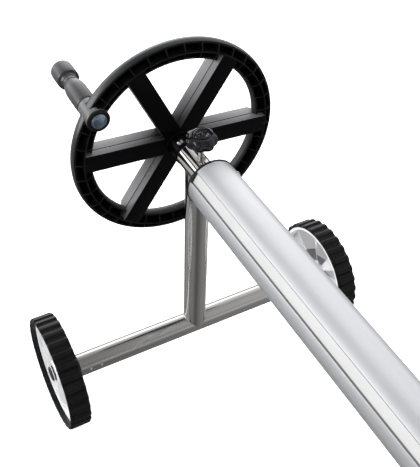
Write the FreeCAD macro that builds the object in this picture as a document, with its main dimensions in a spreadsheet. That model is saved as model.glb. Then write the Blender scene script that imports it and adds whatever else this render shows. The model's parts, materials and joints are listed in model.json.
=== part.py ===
import FreeCAD, Part
import Sketcher
import math
import os

# A cover reel: a telescopic tube on two inverted-T stands with casters.
# The reel axis runs along X and the base tubes along Y. Z is up and the ground is z = 0.
# The drive stand, with its handwheel and brake screw, is at -X and the idler stand at +X.

V = FreeCAD.Vector
NO_TURN = FreeCAD.Rotation()
doc = FreeCAD.newDocument("cover_reel")
sheet = doc.addObject("Spreadsheet::Sheet", "Dims")

ARITHMETIC = {
    "+": lambda left, right: left + right,
    "-": lambda left, right: left - right,
    "*": lambda left, right: left * right,
    "/": lambda left, right: left / right,
}


class Dim:
    """A size with its spreadsheet expression, so a value and its formula stay together."""

    def __init__(self, value, text):
        self.value = float(value)
        self.text = text

    def __add__(self, other):
        return combine(self, "+", other)

    def __radd__(self, other):
        return combine(other, "+", self)

    def __sub__(self, other):
        return combine(self, "-", other)

    def __rsub__(self, other):
        return combine(other, "-", self)

    def __mul__(self, other):
        return combine(self, "*", other)

    def __rmul__(self, other):
        return combine(other, "*", self)

    def __truediv__(self, other):
        return combine(self, "/", other)

    def __neg__(self):
        return combine(-1, "*", self)


def as_dim(size):
    if isinstance(size, Dim):
        return size
    return Dim(size, "%.6f" % size if size >= 0 else "(-1 * %.6f)" % -size)


def combine(left, sign, right):
    left, right = as_dim(left), as_dim(right)
    value = ARITHMETIC[sign](left.value, right.value)
    return Dim(value, f"({left.text} {sign} {right.text})")


def half_chord(radius, height):
    """Half width of a circle at a height above its centre."""
    square = radius * radius - height * height
    return Dim(math.sqrt(as_dim(square).value), f"sqrt({as_dim(square).text})")


rows = []


def dim(alias, value):
    """Enter a driving dimension in the next row of the spreadsheet."""
    rows.append(alias)
    sheet.set(f"A{len(rows)}", alias)
    sheet.set(f"B{len(rows)}", repr(value))
    sheet.setAlias(f"B{len(rows)}", alias)
    return Dim(value, "Dims." + alias)


# ---------------------------------------------------------------- driving sizes (mm, degrees)
tube_r = dim("tube_r", 19.0)            # frame tube, outside
tube_wall = dim("tube_wall", 1.5)
base_half = dim("base_half", 225.6)     # half length of the base tube
axle_z = dim("axle_z", 96.6)
base_z = dim("base_z", 90.7)            # centre line of the base tube, a little under the axles
reel_y = dim("reel_y", -5.6)            # upright and reel axis, off the middle of the base tube
reel_z = dim("reel_z", 439.7)           # reel axis above the ground
drive_x = dim("drive_x", -1100.0)       # upright of the drive stand
idler_x = dim("idler_x", 1209.5)        # upright of the idler stand
sleeve_out = dim("sleeve_out", 29.0)    # sleeve, beyond the upright
sleeve_in = dim("sleeve_in", 35.0)      # sleeve, towards the reel tube
shaft_r = dim("shaft_r", 10.0)
run_gap = dim("run_gap", 0.05)          # running clearance, radial
side_gap = dim("side_gap", 0.5)         # side play
reel_r = dim("reel_r", 38.0)            # outer tube, outside
reel_wall = dim("reel_wall", 2.0)
flat_half = dim("flat_half", 7.58)      # half width of the strap strip
strip_drop = dim("strip_drop", 2.8)     # the strip ramps down to this depth at the groove
key_z = dim("key_z", 33.0)              # inner key flat of the outer tube
strip_angle = dim("strip_angle", 51.5)  # turns local +Z to the strip's normal
outer_len = dim("outer_len", 1954.2)
inner_len = dim("inner_len", 2149.2)
inner_r = dim("inner_r", 34.6)
inner_wall = dim("inner_wall", 2.0)
inner_flat = dim("inner_flat", 31.9)
tube_start = dim("tube_start", 43.0)    # end of the reel tube, from the upright
flange_r = dim("flange_r", 39.6)
wheel_big = dim("wheel_big", 153.2)     # handwheel rim, centre line radius
wheel_sec = dim("wheel_sec", 15.7)      # handwheel rim, section radius
wheel_x = dim("wheel_x", -75.5)         # rim mid plane from the upright
wheel_turn = dim("wheel_turn", 56.4)    # first spoke from +Y
spoke_w = dim("spoke_w", 30.5)
hub_r = dim("hub_r", 20.0)
grip_r = dim("grip_r", 16.3)
caster_y = dim("caster_y", 257.1)       # caster mid plane
caster_w = dim("caster_w", 35.0)
caster_r = dim("caster_r", axle_z.value)  # the casters stand on the ground
rim_r = dim("rim_r", 90.0)              # tyre seat
bolt_r = dim("bolt_r", 5.0)             # caster axle bolt
knob_r = dim("knob_r", 24.0)
stud_r = dim("stud_r", 4.0)
stud_x = dim("stud_x", 9.0)             # brake screw, from the upright
doc.recompute()

tube_in = tube_r - tube_wall

# ---------------------------------------------------------------- modelling helpers
count = [0]
pieces = []


def uid(stem):
    count[0] += 1
    return f"{stem}_{count[0]}"


def link(obj, path, size):
    """Bind a property to its formula when the size depends on the spreadsheet."""
    if "Dims." in size.text:
        obj.setExpression(path, size.text)


def set_size(obj, prop, size):
    size = as_dim(size)
    setattr(obj, prop, size.value)
    link(obj, prop, size)


def along_x(sign):
    return FreeCAD.Rotation(V(0, 0, 1), 0 if sign > 0 else 180)


def along_y(sign):
    return FreeCAD.Rotation(V(0, 0, 1), 90 * sign)


UPWARD = FreeCAD.Rotation(V(0, 1, 0), -90)   # takes local +X to +Z


def put(obj, place, turn=NO_TURN):
    place = [as_dim(size) for size in place]
    obj.Placement = FreeCAD.Placement(V(*[size.value for size in place]), turn)
    for axis, size in zip("xyz", place):
        link(obj, "Placement.Base." + axis, size)
    return obj


def new_body(label):
    body = doc.addObject("PartDesign::Body", uid("Body"))
    body.Label = label
    return body


def origin_part(body, role):
    return [part for part in body.Origin.OriginFeatures if part.Role == role][0]


def new_sketch(body, role, offset=0):
    sketch = body.newObject("Sketcher::SketchObject", uid("Sketch"))
    sketch.AttachmentSupport = [(origin_part(body, role), "")]
    sketch.MapMode = "FlatFace"
    offset = as_dim(offset)
    sketch.AttachmentOffset = FreeCAD.Placement(V(0, 0, offset.value), NO_TURN)
    link(sketch, "AttachmentOffset.Base.z", offset)
    return sketch


def constrain(sketch, size, *details):
    index = sketch.addConstraint(Sketcher.Constraint(*details, size.value))
    link(sketch, f"Constraints[{index}]", size)


def fix_point(sketch, edge, end, x, y):
    """Tie a point to the sketch origin; -2 is the vertical axis and -1 the horizontal."""
    for kind, size, axis in (("DistanceX", as_dim(x), -2), ("DistanceY", as_dim(y), -1)):
        if abs(size.value) < 1e-9:
            sketch.addConstraint(Sketcher.Constraint("PointOnObject", edge, end, axis))
        else:
            constrain(sketch, size, kind, -1, 1, edge, end)


def flat_point(point):
    return V(as_dim(point[0]).value, as_dim(point[1]).value, 0)


def outline(sketch, points):
    """A closed outline. A point is (x, y), or (x, y, (cx, cy, ccw)) when an arc leaves it."""
    first = sketch.GeometryCount
    total = len(points)
    ends = []
    for i, point in enumerate(points):
        start = flat_point(point)
        stop = flat_point(points[(i + 1) % total])
        ccw = True
        if len(point) == 2:
            edge = Part.LineSegment(start, stop)
        else:
            centre = flat_point(point[2])
            ccw = point[2][2]
            radius = math.hypot(start.x - centre.x, start.y - centre.y)
            low, high = [math.atan2(end.y - centre.y, end.x - centre.x) for end in (start, stop)]
            if not ccw:
                low, high = high, low
            if high <= low:
                high += 2 * math.pi
            edge = Part.ArcOfCircle(Part.Circle(centre, V(0, 0, 1), radius), low, high)
        sketch.addGeometry(edge, False)
        ends.append((1, 2) if ccw else (2, 1))
    for i in range(total):
        j = (i + 1) % total
        sketch.addConstraint(
            Sketcher.Constraint("Coincident", first + i, ends[i][1], first + j, ends[j][0]))
    for i, point in enumerate(points):
        fix_point(sketch, first + i, ends[i][0], point[0], point[1])


def ring(sketch, x, y, radius):
    radius = as_dim(radius)
    circle = Part.Circle(flat_point((x, y)), V(0, 0, 1), radius.value)
    edge = sketch.addGeometry(circle, False)
    constrain(sketch, radius, "Radius", edge)
    fix_point(sketch, edge, 3, x, y)


def revolve(body, points, cut_away=False):
    """Turn a profile of (along the axis, radius) points about local X."""
    sketch = new_sketch(body, "XY_Plane")
    outline(sketch, points)
    kind, stem = ("Groove", "Groove") if cut_away else ("Revolution", "Revolve")
    feature = body.newObject("PartDesign::" + kind, uid(stem))
    feature.Profile = sketch
    feature.ReferenceAxis = (sketch, ["H_Axis"])
    feature.Angle = 360
    body.Tip = feature


def extrude(body, kind, sketch, length, middle, back):
    feature = body.newObject("PartDesign::" + kind, uid(kind))
    feature.Profile = sketch
    set_size(feature, "Length", length)
    feature.Midplane = middle
    feature.Reversed = back
    body.Tip = feature
    return feature


def pad(body, sketch, length, middle=False, back=False):
    return extrude(body, "Pad", sketch, length, middle, back)


def pocket(body, sketch, length, middle=False, back=False):
    return extrude(body, "Pocket", sketch, length, middle, back)


def polar(body, original, occurrences):
    feature = body.newObject("PartDesign::PolarPattern", uid("Polar"))
    feature.Originals = [original]
    feature.Axis = (origin_part(body, "X_Axis"), [""])
    feature.Angle = 360
    feature.Occurrences = occurrences
    body.Tip = feature


def turned(label, points, place, turn=NO_TURN):
    """A body made of one revolved profile."""
    body = new_body(label)
    revolve(body, points)
    return put(body, place, turn)


def hex_nut(label, offset, corner_r, hole_r, length, back=False):
    body = new_body(label)
    sketch = new_sketch(body, "YZ_Plane", offset)
    angles = [math.radians(60 * k) for k in range(6)]
    outline(sketch, [(corner_r * math.cos(a), corner_r * math.sin(a)) for a in angles])
    ring(sketch, 0, 0, hole_r)
    pad(body, sketch, length, back=back)
    return body


def cylinder(radius, length, place, way):
    """A cylinder that starts at a place and runs the way given."""
    obj = doc.addObject("Part::Cylinder", uid("Cyl"))
    obj.Label = uid("tool")
    set_size(obj, "Radius", radius)
    set_size(obj, "Height", length)
    return put(obj, place, FreeCAD.Rotation(V(0, 0, 1), V(*way)))


def group(label, items):
    obj = doc.addObject("Part::Compound", uid("Group"))
    obj.Label = label
    obj.Links = items
    return obj


def cut(label, base, tools):
    obj = doc.addObject("Part::Cut", uid("Cut"))
    obj.Label = label
    obj.Base = base
    if len(tools) == 1:
        obj.Tool = tools[0]
    else:
        union = doc.addObject("Part::MultiFuse", uid("Tools"))
        union.Shapes = tools
        obj.Tool = union
    return obj


# Pieces on or across the reel axis. Angles are about X, from +Y towards +Z.
def on_axis(x):
    return (x, reel_y, reel_z)


def radial_way(angle):
    return (0.0, math.cos(math.radians(angle)), math.sin(math.radians(angle)))


def radial_turn(angle):
    return FreeCAD.Rotation(V(1, 0, 0), V(*radial_way(angle)))


def radial_cylinder(radius, length, x, angle, start):
    way = radial_way(angle)
    place = (x, reel_y + way[1] * start, reel_z + way[2] * start)
    return cylinder(radius, length, place, way)


def cross_cylinder(radius, length, x, angle):
    """A cylinder centred on the reel axis and square to it."""
    return radial_cylinder(radius, length, x, angle, -length / 2)


# ---------------------------------------------------------------- the two stands
rivet_ys = (base_half - 36, base_half - 17)
rivet_tilt = math.radians(12.0)     # above the horizontal, towards the reel
rivet_r = 2.4
weld_r = tube_r + 3.2               # reach of the weld fillets from a tube's axis
stud_boss_r = 6.5
bush_lip = 2                        # thickness of a sleeve bush's flange
nut_corner_r = 9.8                  # axle and crank nuts, across corners
caster_hub_in = 16.5                # hub end faces, from the caster mid plane
caster_hub_out = 10.0
caster_bore_r = 10.5


def rivet_way(side):
    return (math.cos(rivet_tilt) * side, 0.0, math.sin(rivet_tilt))


def rivet_hole(x, y, side, start):
    way = rivet_way(side)
    return cylinder(rivet_r, 12, (x + way[0] * start, y, base_z + way[2] * start), way)


def tube_stock(body, role, length, middle=False):
    sketch = new_sketch(body, role)
    ring(sketch, 0, 0, tube_r)
    ring(sketch, 0, 0, tube_in)
    pad(body, sketch, length, middle)


def base_tube(pre, x, side):
    """Base tube, open at both ends, with rivet holes near each end."""
    body = new_body(pre + "_base_stock")
    tube_stock(body, "YZ_Plane", 2 * base_half, middle=True)
    put(body, (x, 0, base_z), along_y(1))
    holes = [rivet_hole(x, end * y, side, 12) for end in (1, -1) for y in rivet_ys]
    return cut(pre + "_base_tube", body, holes)


def upright(pre, x):
    """Upright, fish-mouthed over the base tube and under the sleeve."""
    body = new_body(pre + "_upright")
    height = reel_z - base_z
    tube_stock(body, "XY_Plane", height)
    for role, mouth_z in (("XZ_Plane", 0), ("YZ_Plane", height)):
        sketch = new_sketch(body, role)
        ring(sketch, 0, mouth_z, tube_r)
        pocket(body, sketch, 60, middle=True)
    return put(body, (x, reel_y, base_z))


def bearing_sleeve(pre, x, side):
    """Sleeve along the reel axis; the drive one has a hole for the brake screw's boss."""
    label = pre + "_bearing_sleeve"
    chamfer = 0.5
    profile = [
        (-sleeve_out, tube_in), (sleeve_in, tube_in), (sleeve_in, tube_r - chamfer),
        (sleeve_in - chamfer, tube_r), (chamfer - sleeve_out, tube_r),
        (-sleeve_out, tube_r - chamfer)]
    if side < 0:
        return turned(label, profile, on_axis(x), along_x(side))
    stock = turned(pre + "_sleeve_stock", profile, on_axis(x), along_x(side))
    hole = cylinder(stud_boss_r, 30, (x + stud_x, reel_y, reel_z + 5), (0, 0, 1))
    return cut(label, stock, [hole])


def weld_bead(pre, x, z, up, way):
    """Fillet between the upright and the tube that crosses it at height z."""
    def crossing(radius, length):
        place = (x - way[0] * length / 2, reel_y - way[1] * length / 2, z)
        return cylinder(radius, length, place, way)

    sheaths = [cylinder(weld_r, 30, (x, reel_y, z), (0, 0, up)), crossing(weld_r, 80)]
    common = doc.addObject("Part::MultiCommon", uid("Common"))
    common.Shapes = sheaths
    tubes = [cylinder(tube_r, 80, (x, reel_y, z - 40), (0, 0, 1)), crossing(tube_r, 90)]
    return cut(uid(pre + "_bead"), common, tubes)


def sleeve_bush(pre, tag, x, way, face, depth):
    """Flanged bush in one end of the sleeve; face is that end's distance from the upright."""
    flange = tube_r - 0.8
    bore = shaft_r + run_gap
    return turned(f"{pre}_bush_{tag}", [
        (face - depth, bore), (face + bush_lip, bore), (face + bush_lip, flange),
        (face, flange), (face, tube_in), (face - depth, tube_in)],
        on_axis(x), along_x(way))


def base_plug(pre, x, side, end):
    """Domed plug in the base tube; its axle bore sits above the tube's centre line."""
    body = turned(uid(pre + "_plug_stock"), [
        (base_half - 50, 0), (base_half + 10.0, 0), (base_half + 10.0, 18.6),
        (base_half + 8.6, 20.4), (base_half, 20.4), (base_half, tube_in),
        (base_half - 50, tube_in)],
        (x, 0, base_z), along_y(end))
    holes = [rivet_hole(x, end * y, side, 9) for y in rivet_ys]
    # the axle bore, then the wider pocket for its nut
    for radius, length in ((bolt_r, 80), (10.2, 58.5)):
        place = (x, end * (base_half - 60), axle_z)
        holes.append(cylinder(radius, length, place, (0, end, 0)))
    return cut(uid(pre + "_plug"), body, holes)


def plug_rivet(pre, x, y, side):
    return turned(uid(pre + "_rivet"), [
        (12.5, 0), (20.9, 0), (20.6, 1.8), (19.9, 3.2), (19.2, 4.0), (19.05, 4.0),
        (19.05, rivet_r), (12.5, rivet_r)],
        (x, y, base_z), FreeCAD.Rotation(V(1, 0, 0), V(*rivet_way(side))))


def axle_bolt(pre, x, end):
    head = caster_y + 12.5
    root = base_half - 15
    return turned(uid(pre + "_bolt"), [
        (root, 0), (head + 4.2, 0), (head + 4.2, 9.5), (head + 3.0, 12.4),
        (head + 1.0, 13.4), (head, 13.4), (head, bolt_r), (root, bolt_r)],
        (x, 0, axle_z), along_y(end))


def axle_nut(pre, x, end):
    nut = hex_nut(uid(pre + "_nut"), base_half - 12, nut_corner_r, bolt_r, 10.5)
    return put(nut, (x, 0, axle_z), along_y(end))


def tyre(label, place, end):
    """Tyre with thirty scallops round its tread."""
    half = caster_w / 2
    body = new_body(label)
    revolve(body, [
        (-half + 0.4, rim_r), (half - 0.4, rim_r), (half, rim_r + 0.4),
        (half, caster_r - 1.6), (half - 1.6, caster_r), (-half + 1.6, caster_r),
        (-half, caster_r - 1.6), (-half, rim_r + 0.4)])
    sketch = new_sketch(body, "YZ_Plane")
    ring(sketch, caster_r + 8.6, 0, 12.0)
    polar(body, pocket(body, sketch, caster_w + 10, middle=True), 30)
    return put(body, place, along_y(end))


def caster_hub(label, place, end):
    """Hub, web and rim in one, with eight radial ribs; local +X faces away from the stand."""
    body = new_body(label)
    revolve(body, [
        (-caster_hub_in, caster_bore_r), (caster_hub_out, caster_bore_r),
        (caster_hub_out, 19.0), (8.0, 21.0), (7.5, 79.5), (8.5, 83.5), (8.5, rim_r),
        (-caster_hub_in, rim_r), (-caster_hub_in, 84.5), (3.5, 82.5), (3.5, 22.0),
        (-15.5, 20.0), (-caster_hub_in, 19.0)])
    sketch = new_sketch(body, "YZ_Plane", -13)
    outline(sketch, [(18.0, -2.2), (85.5, -3.4), (85.5, 3.4), (18.0, 2.2)])
    polar(body, pad(body, sketch, 18), 8)
    return put(body, place, along_y(end))


def hub_bush(label, place, way, face, lip):
    bore = bolt_r + run_gap
    return turned(uid(label), [
        (face - 10, bore), (face + lip, bore), (face + lip, 11.8),
        (face + lip - 0.8, 12.6), (face, 12.6), (face, caster_bore_r),
        (face - 10, caster_bore_r)],
        place, along_y(way))


def caster(pre, tag, x, end):
    name = f"{pre}_{tag}"
    place = (x, end * caster_y, axle_z)
    pieces.append(tyre(name + "_tyre", place, end))
    pieces.append(caster_hub(name + "_hub", place, end))
    # (hub end, its face from the mid plane, flange thickness)
    bushes = [hub_bush(name + "_bush", place, end * hub_end, face, lip)
              for hub_end, face, lip in ((-1, caster_hub_in, 4.5), (1, caster_hub_out, 2.0))]
    pieces.append(group(name + "_hub_bushes", bushes))


def stand(pre, x, side):
    """One inverted T. side = +1 when the reel is on its +X side, -1 when on its -X side."""
    pieces.append(base_tube(pre, x, side))
    pieces.append(upright(pre, x))
    pieces.append(bearing_sleeve(pre, x, side))
    beads = [weld_bead(pre, x, base_z, 1, (0, 1, 0)), weld_bead(pre, x, reel_z, -1, (1, 0, 0))]
    pieces.append(group(pre + "_weld_beads", beads))
    bushes = [sleeve_bush(pre, "a", x, -side, sleeve_out, 20.0),
              sleeve_bush(pre, "b", x, side, sleeve_in, 16.0)]
    pieces.append(group(pre + "_bushes", bushes))

    plugs, rivets, bolts, nuts = [], [], [], []
    for end in (1, -1):
        plugs.append(base_plug(pre, x, side, end))
        rivets += [plug_rivet(pre, x, end * y, side) for y in rivet_ys]
        bolts.append(axle_bolt(pre, x, end))
        nuts.append(axle_nut(pre, x, end))
    pieces.append(group(pre + "_base_plugs", plugs))
    pieces.append(group(pre + "_plug_rivets", rivets))
    pieces.append(group(pre + "_axle_bolts", bolts))
    pieces.append(group(pre + "_axle_nuts", nuts))

    caster(pre, "near", x, -1)
    caster(pre, "far", x, 1)


stand("drive", drive_x, 1)
stand("idler", idler_x, -1)

# ---------------------------------------------------------------- brake screw on the drive sleeve
# Profiles run upwards from the reel axis.
stud_place = on_axis(drive_x + stud_x)
stud_root = 17.05
stud_top = 52.0
knob_top = 62.0
pad_foot = shaft_r + run_gap

pieces.append(turned("drive_stud_boss", [
    (12.0, stud_r + run_gap), (20.4, stud_r + run_gap), (20.4, 6.9), (20.0, 7.4),
    (19.0, 7.4), (19.0, stud_boss_r), (12.0, stud_boss_r)],
    stud_place, UPWARD))
pieces.append(turned("brake_pad", [
    (pad_foot, 0), (17.0, 0), (17.0, stud_r - 0.02), (pad_foot + 0.6, stud_r - 0.02),
    (pad_foot, stud_r - 0.6)],
    stud_place, UPWARD))
pieces.append(turned("brake_stud", [
    (stud_root, 0), (stud_top, 0), (stud_top, stud_r), (17.6, stud_r), (stud_root, 3.4)],
    stud_place, UPWARD))


def brake_knob():
    """Knob with seven notches round its edge."""
    body = new_body("brake_knob")
    revolve(body, [
        (41.0, stud_r), (stud_top, stud_r), (stud_top, 0), (knob_top, 0), (knob_top, 12.0),
        (64.6, 12.6), (65.0, 15.5), (64.0, 18.5), (61.0, knob_r - 2.0), (57.0, knob_r),
        (50.0, knob_r - 0.4), (46.0, knob_r - 2.4), (43.5, knob_r - 6.0), (42.0, 12.0),
        (41.0, 9.0)])
    sketch = new_sketch(body, "YZ_Plane", 70)
    ring(sketch, knob_r + 4.4, 0, 7.6)
    polar(body, pocket(body, sketch, 40), 7)
    return put(body, stud_place, UPWARD)


pieces.append(brake_knob())
pieces.append(turned("brake_knob_cap", [
    (knob_top, 0), (65.6, 0), (65.2, 3.0), (64.4, 4.0), (65.2, 5.2), (65.0, 9.0),
    (64.2, 10.2), (64.0, 11.9), (knob_top, 11.9)],
    stud_place, UPWARD))

# ---------------------------------------------------------------- handwheel and its shaft
# Distances along X are from the drive upright.
shaft_end = 86                # outer end of the drive shaft, on the -X side
boss_face = -57.5             # +X face of the grip boss
spindle_r = 5.0
hub_bolt_x = -41.5
hub_bolt_angle = 115.0
hub_bolt_r = 3.0
pin_r = 2.5                   # pins through the shafts and tube plugs
pin_x = 75                    # pin, from the upright
pin_angle = strip_angle.value


def wheel_rim(body):
    """C-shaped skin, open towards +X, with a ring rib standing inside it."""
    lip = 7.5                 # the skin stops this far beyond the mid plane
    rib_half = 0.8
    skin_in = wheel_sec - 3.0
    lip_x = wheel_x + lip
    lip_out = half_chord(wheel_sec, lip)
    lip_in = half_chord(skin_in, lip)
    rib_root = wheel_x - half_chord(skin_in, rib_half)
    rib_tip = wheel_x + wheel_sec - 0.2
    outside = (wheel_x, wheel_big, True)
    inside = (wheel_x, wheel_big, False)
    revolve(body, [
        (lip_x, wheel_big + lip_out, outside), (wheel_x - wheel_sec, wheel_big, outside),
        (lip_x, wheel_big - lip_out), (lip_x, wheel_big - lip_in, inside),
        (rib_root, wheel_big - rib_half), (rib_tip, wheel_big - rib_half),
        (rib_tip, wheel_big + rib_half), (rib_root, wheel_big + rib_half, inside),
        (lip_x, wheel_big + lip_in)])


def wheel_ribs(body):
    """Round radial ribs in the rim, one every ten degrees."""
    rib_r = wheel_sec - 0.3
    off_centre = 0.001        # the topmost point lies this far off the rim's mid plane
    arc = (wheel_x, wheel_big, True)
    sketch = new_sketch(body, "XY_Plane")
    outline(sketch, [
        (wheel_x + off_centre, wheel_big + rib_r, arc), (wheel_x - rib_r, wheel_big, arc),
        (wheel_x, wheel_big - rib_r, arc), (wheel_x + rib_r, wheel_big, arc)])
    polar(body, pad(body, sketch, 1.6, middle=True), 36)


def wheel_spokes(body):
    reach = wheel_big - 3
    sketch = new_sketch(body, "YZ_Plane", wheel_x - 14.2)
    outline(sketch, [(6.0, -spoke_w / 2), (reach, -spoke_w / 2),
                     (reach, spoke_w / 2), (6.0, spoke_w / 2)])
    polar(body, pad(body, sketch, 29.0), 6)


def handwheel():
    body = new_body("handwheel_stock")
    wheel_rim(body)
    wheel_ribs(body)
    wheel_spokes(body)
    # hub: a wide disc and a longer barrel from the same face
    for radius, length in ((hub_r + 9, 30.0), (hub_r, 59.0)):
        sketch = new_sketch(body, "YZ_Plane", wheel_x - 15.0)
        ring(sketch, 0, 0, radius)
        pad(body, sketch, length)
    # grip boss through the rim, midway between two spokes, and its spindle hole
    sketch = new_sketch(body, "YZ_Plane", boss_face)
    ring(sketch, 0, wheel_big, 16.2)
    pad(body, sketch, 38.0, back=True)
    sketch = new_sketch(body, "YZ_Plane", -50)
    ring(sketch, 0, wheel_big, spindle_r)
    pocket(body, sketch, 80)
    # blind shaft bore
    sketch = new_sketch(body, "YZ_Plane")
    ring(sketch, 0, 0, shaft_r)
    pocket(body, sketch, shaft_end)
    put(body, on_axis(drive_x), FreeCAD.Rotation(V(1, 0, 0), wheel_turn.value))
    return cut("handwheel", body, [hub_bolt_hole()])


def hub_bolt_hole():
    return cross_cylinder(hub_bolt_r, 60, drive_x + hub_bolt_x, hub_bolt_angle)


def shaft_profile(start, stop):
    """Round bar with a 1 mm chamfer at each end."""
    return [(start, 0), (stop, 0), (stop, shaft_r - 1), (stop - 1, shaft_r),
            (start + 1, shaft_r), (start, shaft_r - 1)]


pieces.append(handwheel())
stock = turned("drive_shaft_stock", shaft_profile(-shaft_end, 95.0), on_axis(drive_x))
pieces.append(cut("drive_shaft", stock, [
    hub_bolt_hole(), cross_cylinder(pin_r, 60, drive_x + pin_x, pin_angle)]))

hub_bolt_place = on_axis(drive_x + hub_bolt_x)
pieces.append(turned("hub_bolt", [
    (-26.5, 0), (23.6, 0), (23.2, 2.4), (22.0, 4.4), (20.8, 5.2), (20.0, 5.2),
    (20.0, hub_bolt_r), (-26.5, hub_bolt_r)],
    hub_bolt_place, radial_turn(hub_bolt_angle)))
pieces.append(put(hex_nut("hub_nut", -20, 5.77, hub_bolt_r, 5.0, back=True),
                  hub_bolt_place, radial_turn(hub_bolt_angle)))

# ---------------------------------------------------------------- crank grip on the rim
crank_way = radial_way(wheel_turn.value + 90.0)
crank_place = (drive_x, reel_y + wheel_big.value * crank_way[1],
               reel_z + wheel_big.value * crank_way[2])
spindle_end = -188.0
grip_bore_r = spindle_r + run_gap
cap_seat_r = 11.0
cap_seat_x = -203.2

pieces.append(turned("crank_washer", [
    (boss_face, spindle_r), (-56.0, spindle_r), (-56.0, 12.4), (-54.6, 12.4), (-54.0, 13.0),
    (-54.0, 15.6), (-55.0, 17.4), (boss_face, 17.4)],
    crank_place))
pieces.append(turned("crank_spindle", [
    (spindle_end, 0), (-50.4, 0), (-50.7, 3.6), (-51.6, 7.2), (-53.0, 10.2), (-54.6, 12.0),
    (-56.0, 12.0), (-56.0, spindle_r), (spindle_end, spindle_r)],
    crank_place))
pieces.append(put(hex_nut("crank_nut", spindle_end + 1, nut_corner_r, spindle_r, 8.0),
                  crank_place))
pieces.append(turned("grip_body", [
    (cap_seat_x, cap_seat_r), (cap_seat_x, 16.0), (-200.5, 17.2), (-184.0, 17.4),
    (-173.0, 17.2), (-168.5, 16.2), (-165.0, 13.4), (-161.5, 12.2), (-158.0, 12.6),
    (-148.0, grip_r - 1.2), (-132.0, grip_r), (-99.0, grip_r), (-96.0, grip_r - 0.8),
    (-96.0, grip_bore_r), (-178.5, grip_bore_r), (-178.5, cap_seat_r)],
    crank_place))
pieces.append(turned("grip_end_cap", [
    (-205.7, 0), (-199.7, 0), (-199.7, cap_seat_r), (cap_seat_x, cap_seat_r),
    (cap_seat_x, 15.8), (-204.7, 14.6), (-205.7, 11.5)],
    crank_place))

# ---------------------------------------------------------------- keyed telescopic tubes
strip_turn = FreeCAD.Rotation(V(1, 0, 0), strip_angle.value)
reel_bore_r = reel_r - reel_wall
inner_bore_r = inner_r - inner_wall
inner_key_z = inner_flat - 3.6
plug_screw_angles = (210.0, 330.0)       # from local +Y of the tubes
collar_screw_angles = (30.0, 150.0, 270.0)
plug_screw_x = 57                        # from the upright
plug_screw_r = 2.2
collar_screw_x = 11                      # from the outer tube's open end
collar_screw_r = 3.0
collar_r = 41.5


def d_section(radius, flat):
    """Circle with its top cut off by a flat at the given height."""
    half = half_chord(radius, flat)
    return [(half, flat), (-half, flat, (0, 0, True)), (0, -radius, (0, 0, True))]


def outer_tube_stock():
    """Round tube with a sloped strip that ends at a strap groove on the local -Y side."""
    groove_near = -flat_half + 1.33
    groove_far = -flat_half - 1.97
    groove_floor = reel_r - 4.0
    body = new_body("outer_tube_stock")
    sketch = new_sketch(body, "YZ_Plane")
    outline(sketch, [
        (flat_half, half_chord(reel_r, flat_half)), (groove_near, reel_r - strip_drop),
        (groove_near, groove_floor), (groove_far, groove_floor),
        (groove_far, half_chord(reel_r, groove_far), (0, 0, True)),
        (0, -reel_r, (0, 0, True))])
    outline(sketch, d_section(reel_bore_r, key_z))
    pad(body, sketch, outer_len)
    return put(body, on_axis(drive_x + tube_start), strip_turn)


def inner_tube_stock():
    """Tube with an outer flat and a strap groove along the middle of it."""
    half = half_chord(inner_r, inner_flat)
    groove_half = 1.65
    groove_floor = inner_flat - 2.2
    body = new_body("inner_tube_stock")
    sketch = new_sketch(body, "YZ_Plane")
    outline(sketch, [
        (half, inner_flat), (groove_half, inner_flat), (groove_half, groove_floor),
        (-groove_half, groove_floor), (-groove_half, inner_flat),
        (-half, inner_flat, (0, 0, True)), (0, -inner_r, (0, 0, True))])
    outline(sketch, d_section(inner_bore_r, inner_key_z))
    pad(body, sketch, inner_len)
    return put(body, on_axis(idler_x - tube_start - inner_len), strip_turn)


def tube_plug_stock(label, insert_r, flat):
    """Flanged end plug with a D-shaped insert, bored for the shaft."""
    body = new_body(label)
    sketch = new_sketch(body, "YZ_Plane", tube_start)
    outline(sketch, d_section(insert_r, flat))
    pad(body, sketch, 50)
    revolve(body, [
        (tube_start - 5.5, 5.0), (tube_start, 5.0), (tube_start, flange_r - 0.6),
        (tube_start - 0.6, flange_r), (tube_start - 2.4, flange_r),
        (tube_start - 3.0, flange_r - 0.8), (tube_start - 3.0, 14.0),
        (tube_start - 5.5, 14.0)])
    sketch = new_sketch(body, "YZ_Plane", tube_start - 10)
    ring(sketch, 0, 0, shaft_r)
    pocket(body, sketch, 80, back=True)
    return body


def plug_screw_hole(x, angle, start):
    return radial_cylinder(plug_screw_r, 30, x, angle + strip_angle.value, start)


def plug_screw(label, x, angle, start, tube_radius):
    """Domed screw whose head sits just off the tube."""
    seat = tube_radius + 0.1
    return turned(label, [
        (start, 0), (seat + 2.3, 0), (seat + 2.1, 2.2), (seat + 1.2, 3.8), (seat, 4.2),
        (seat, plug_screw_r), (start, plug_screw_r)],
        on_axis(x), radial_turn(angle + strip_angle.value))


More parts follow.
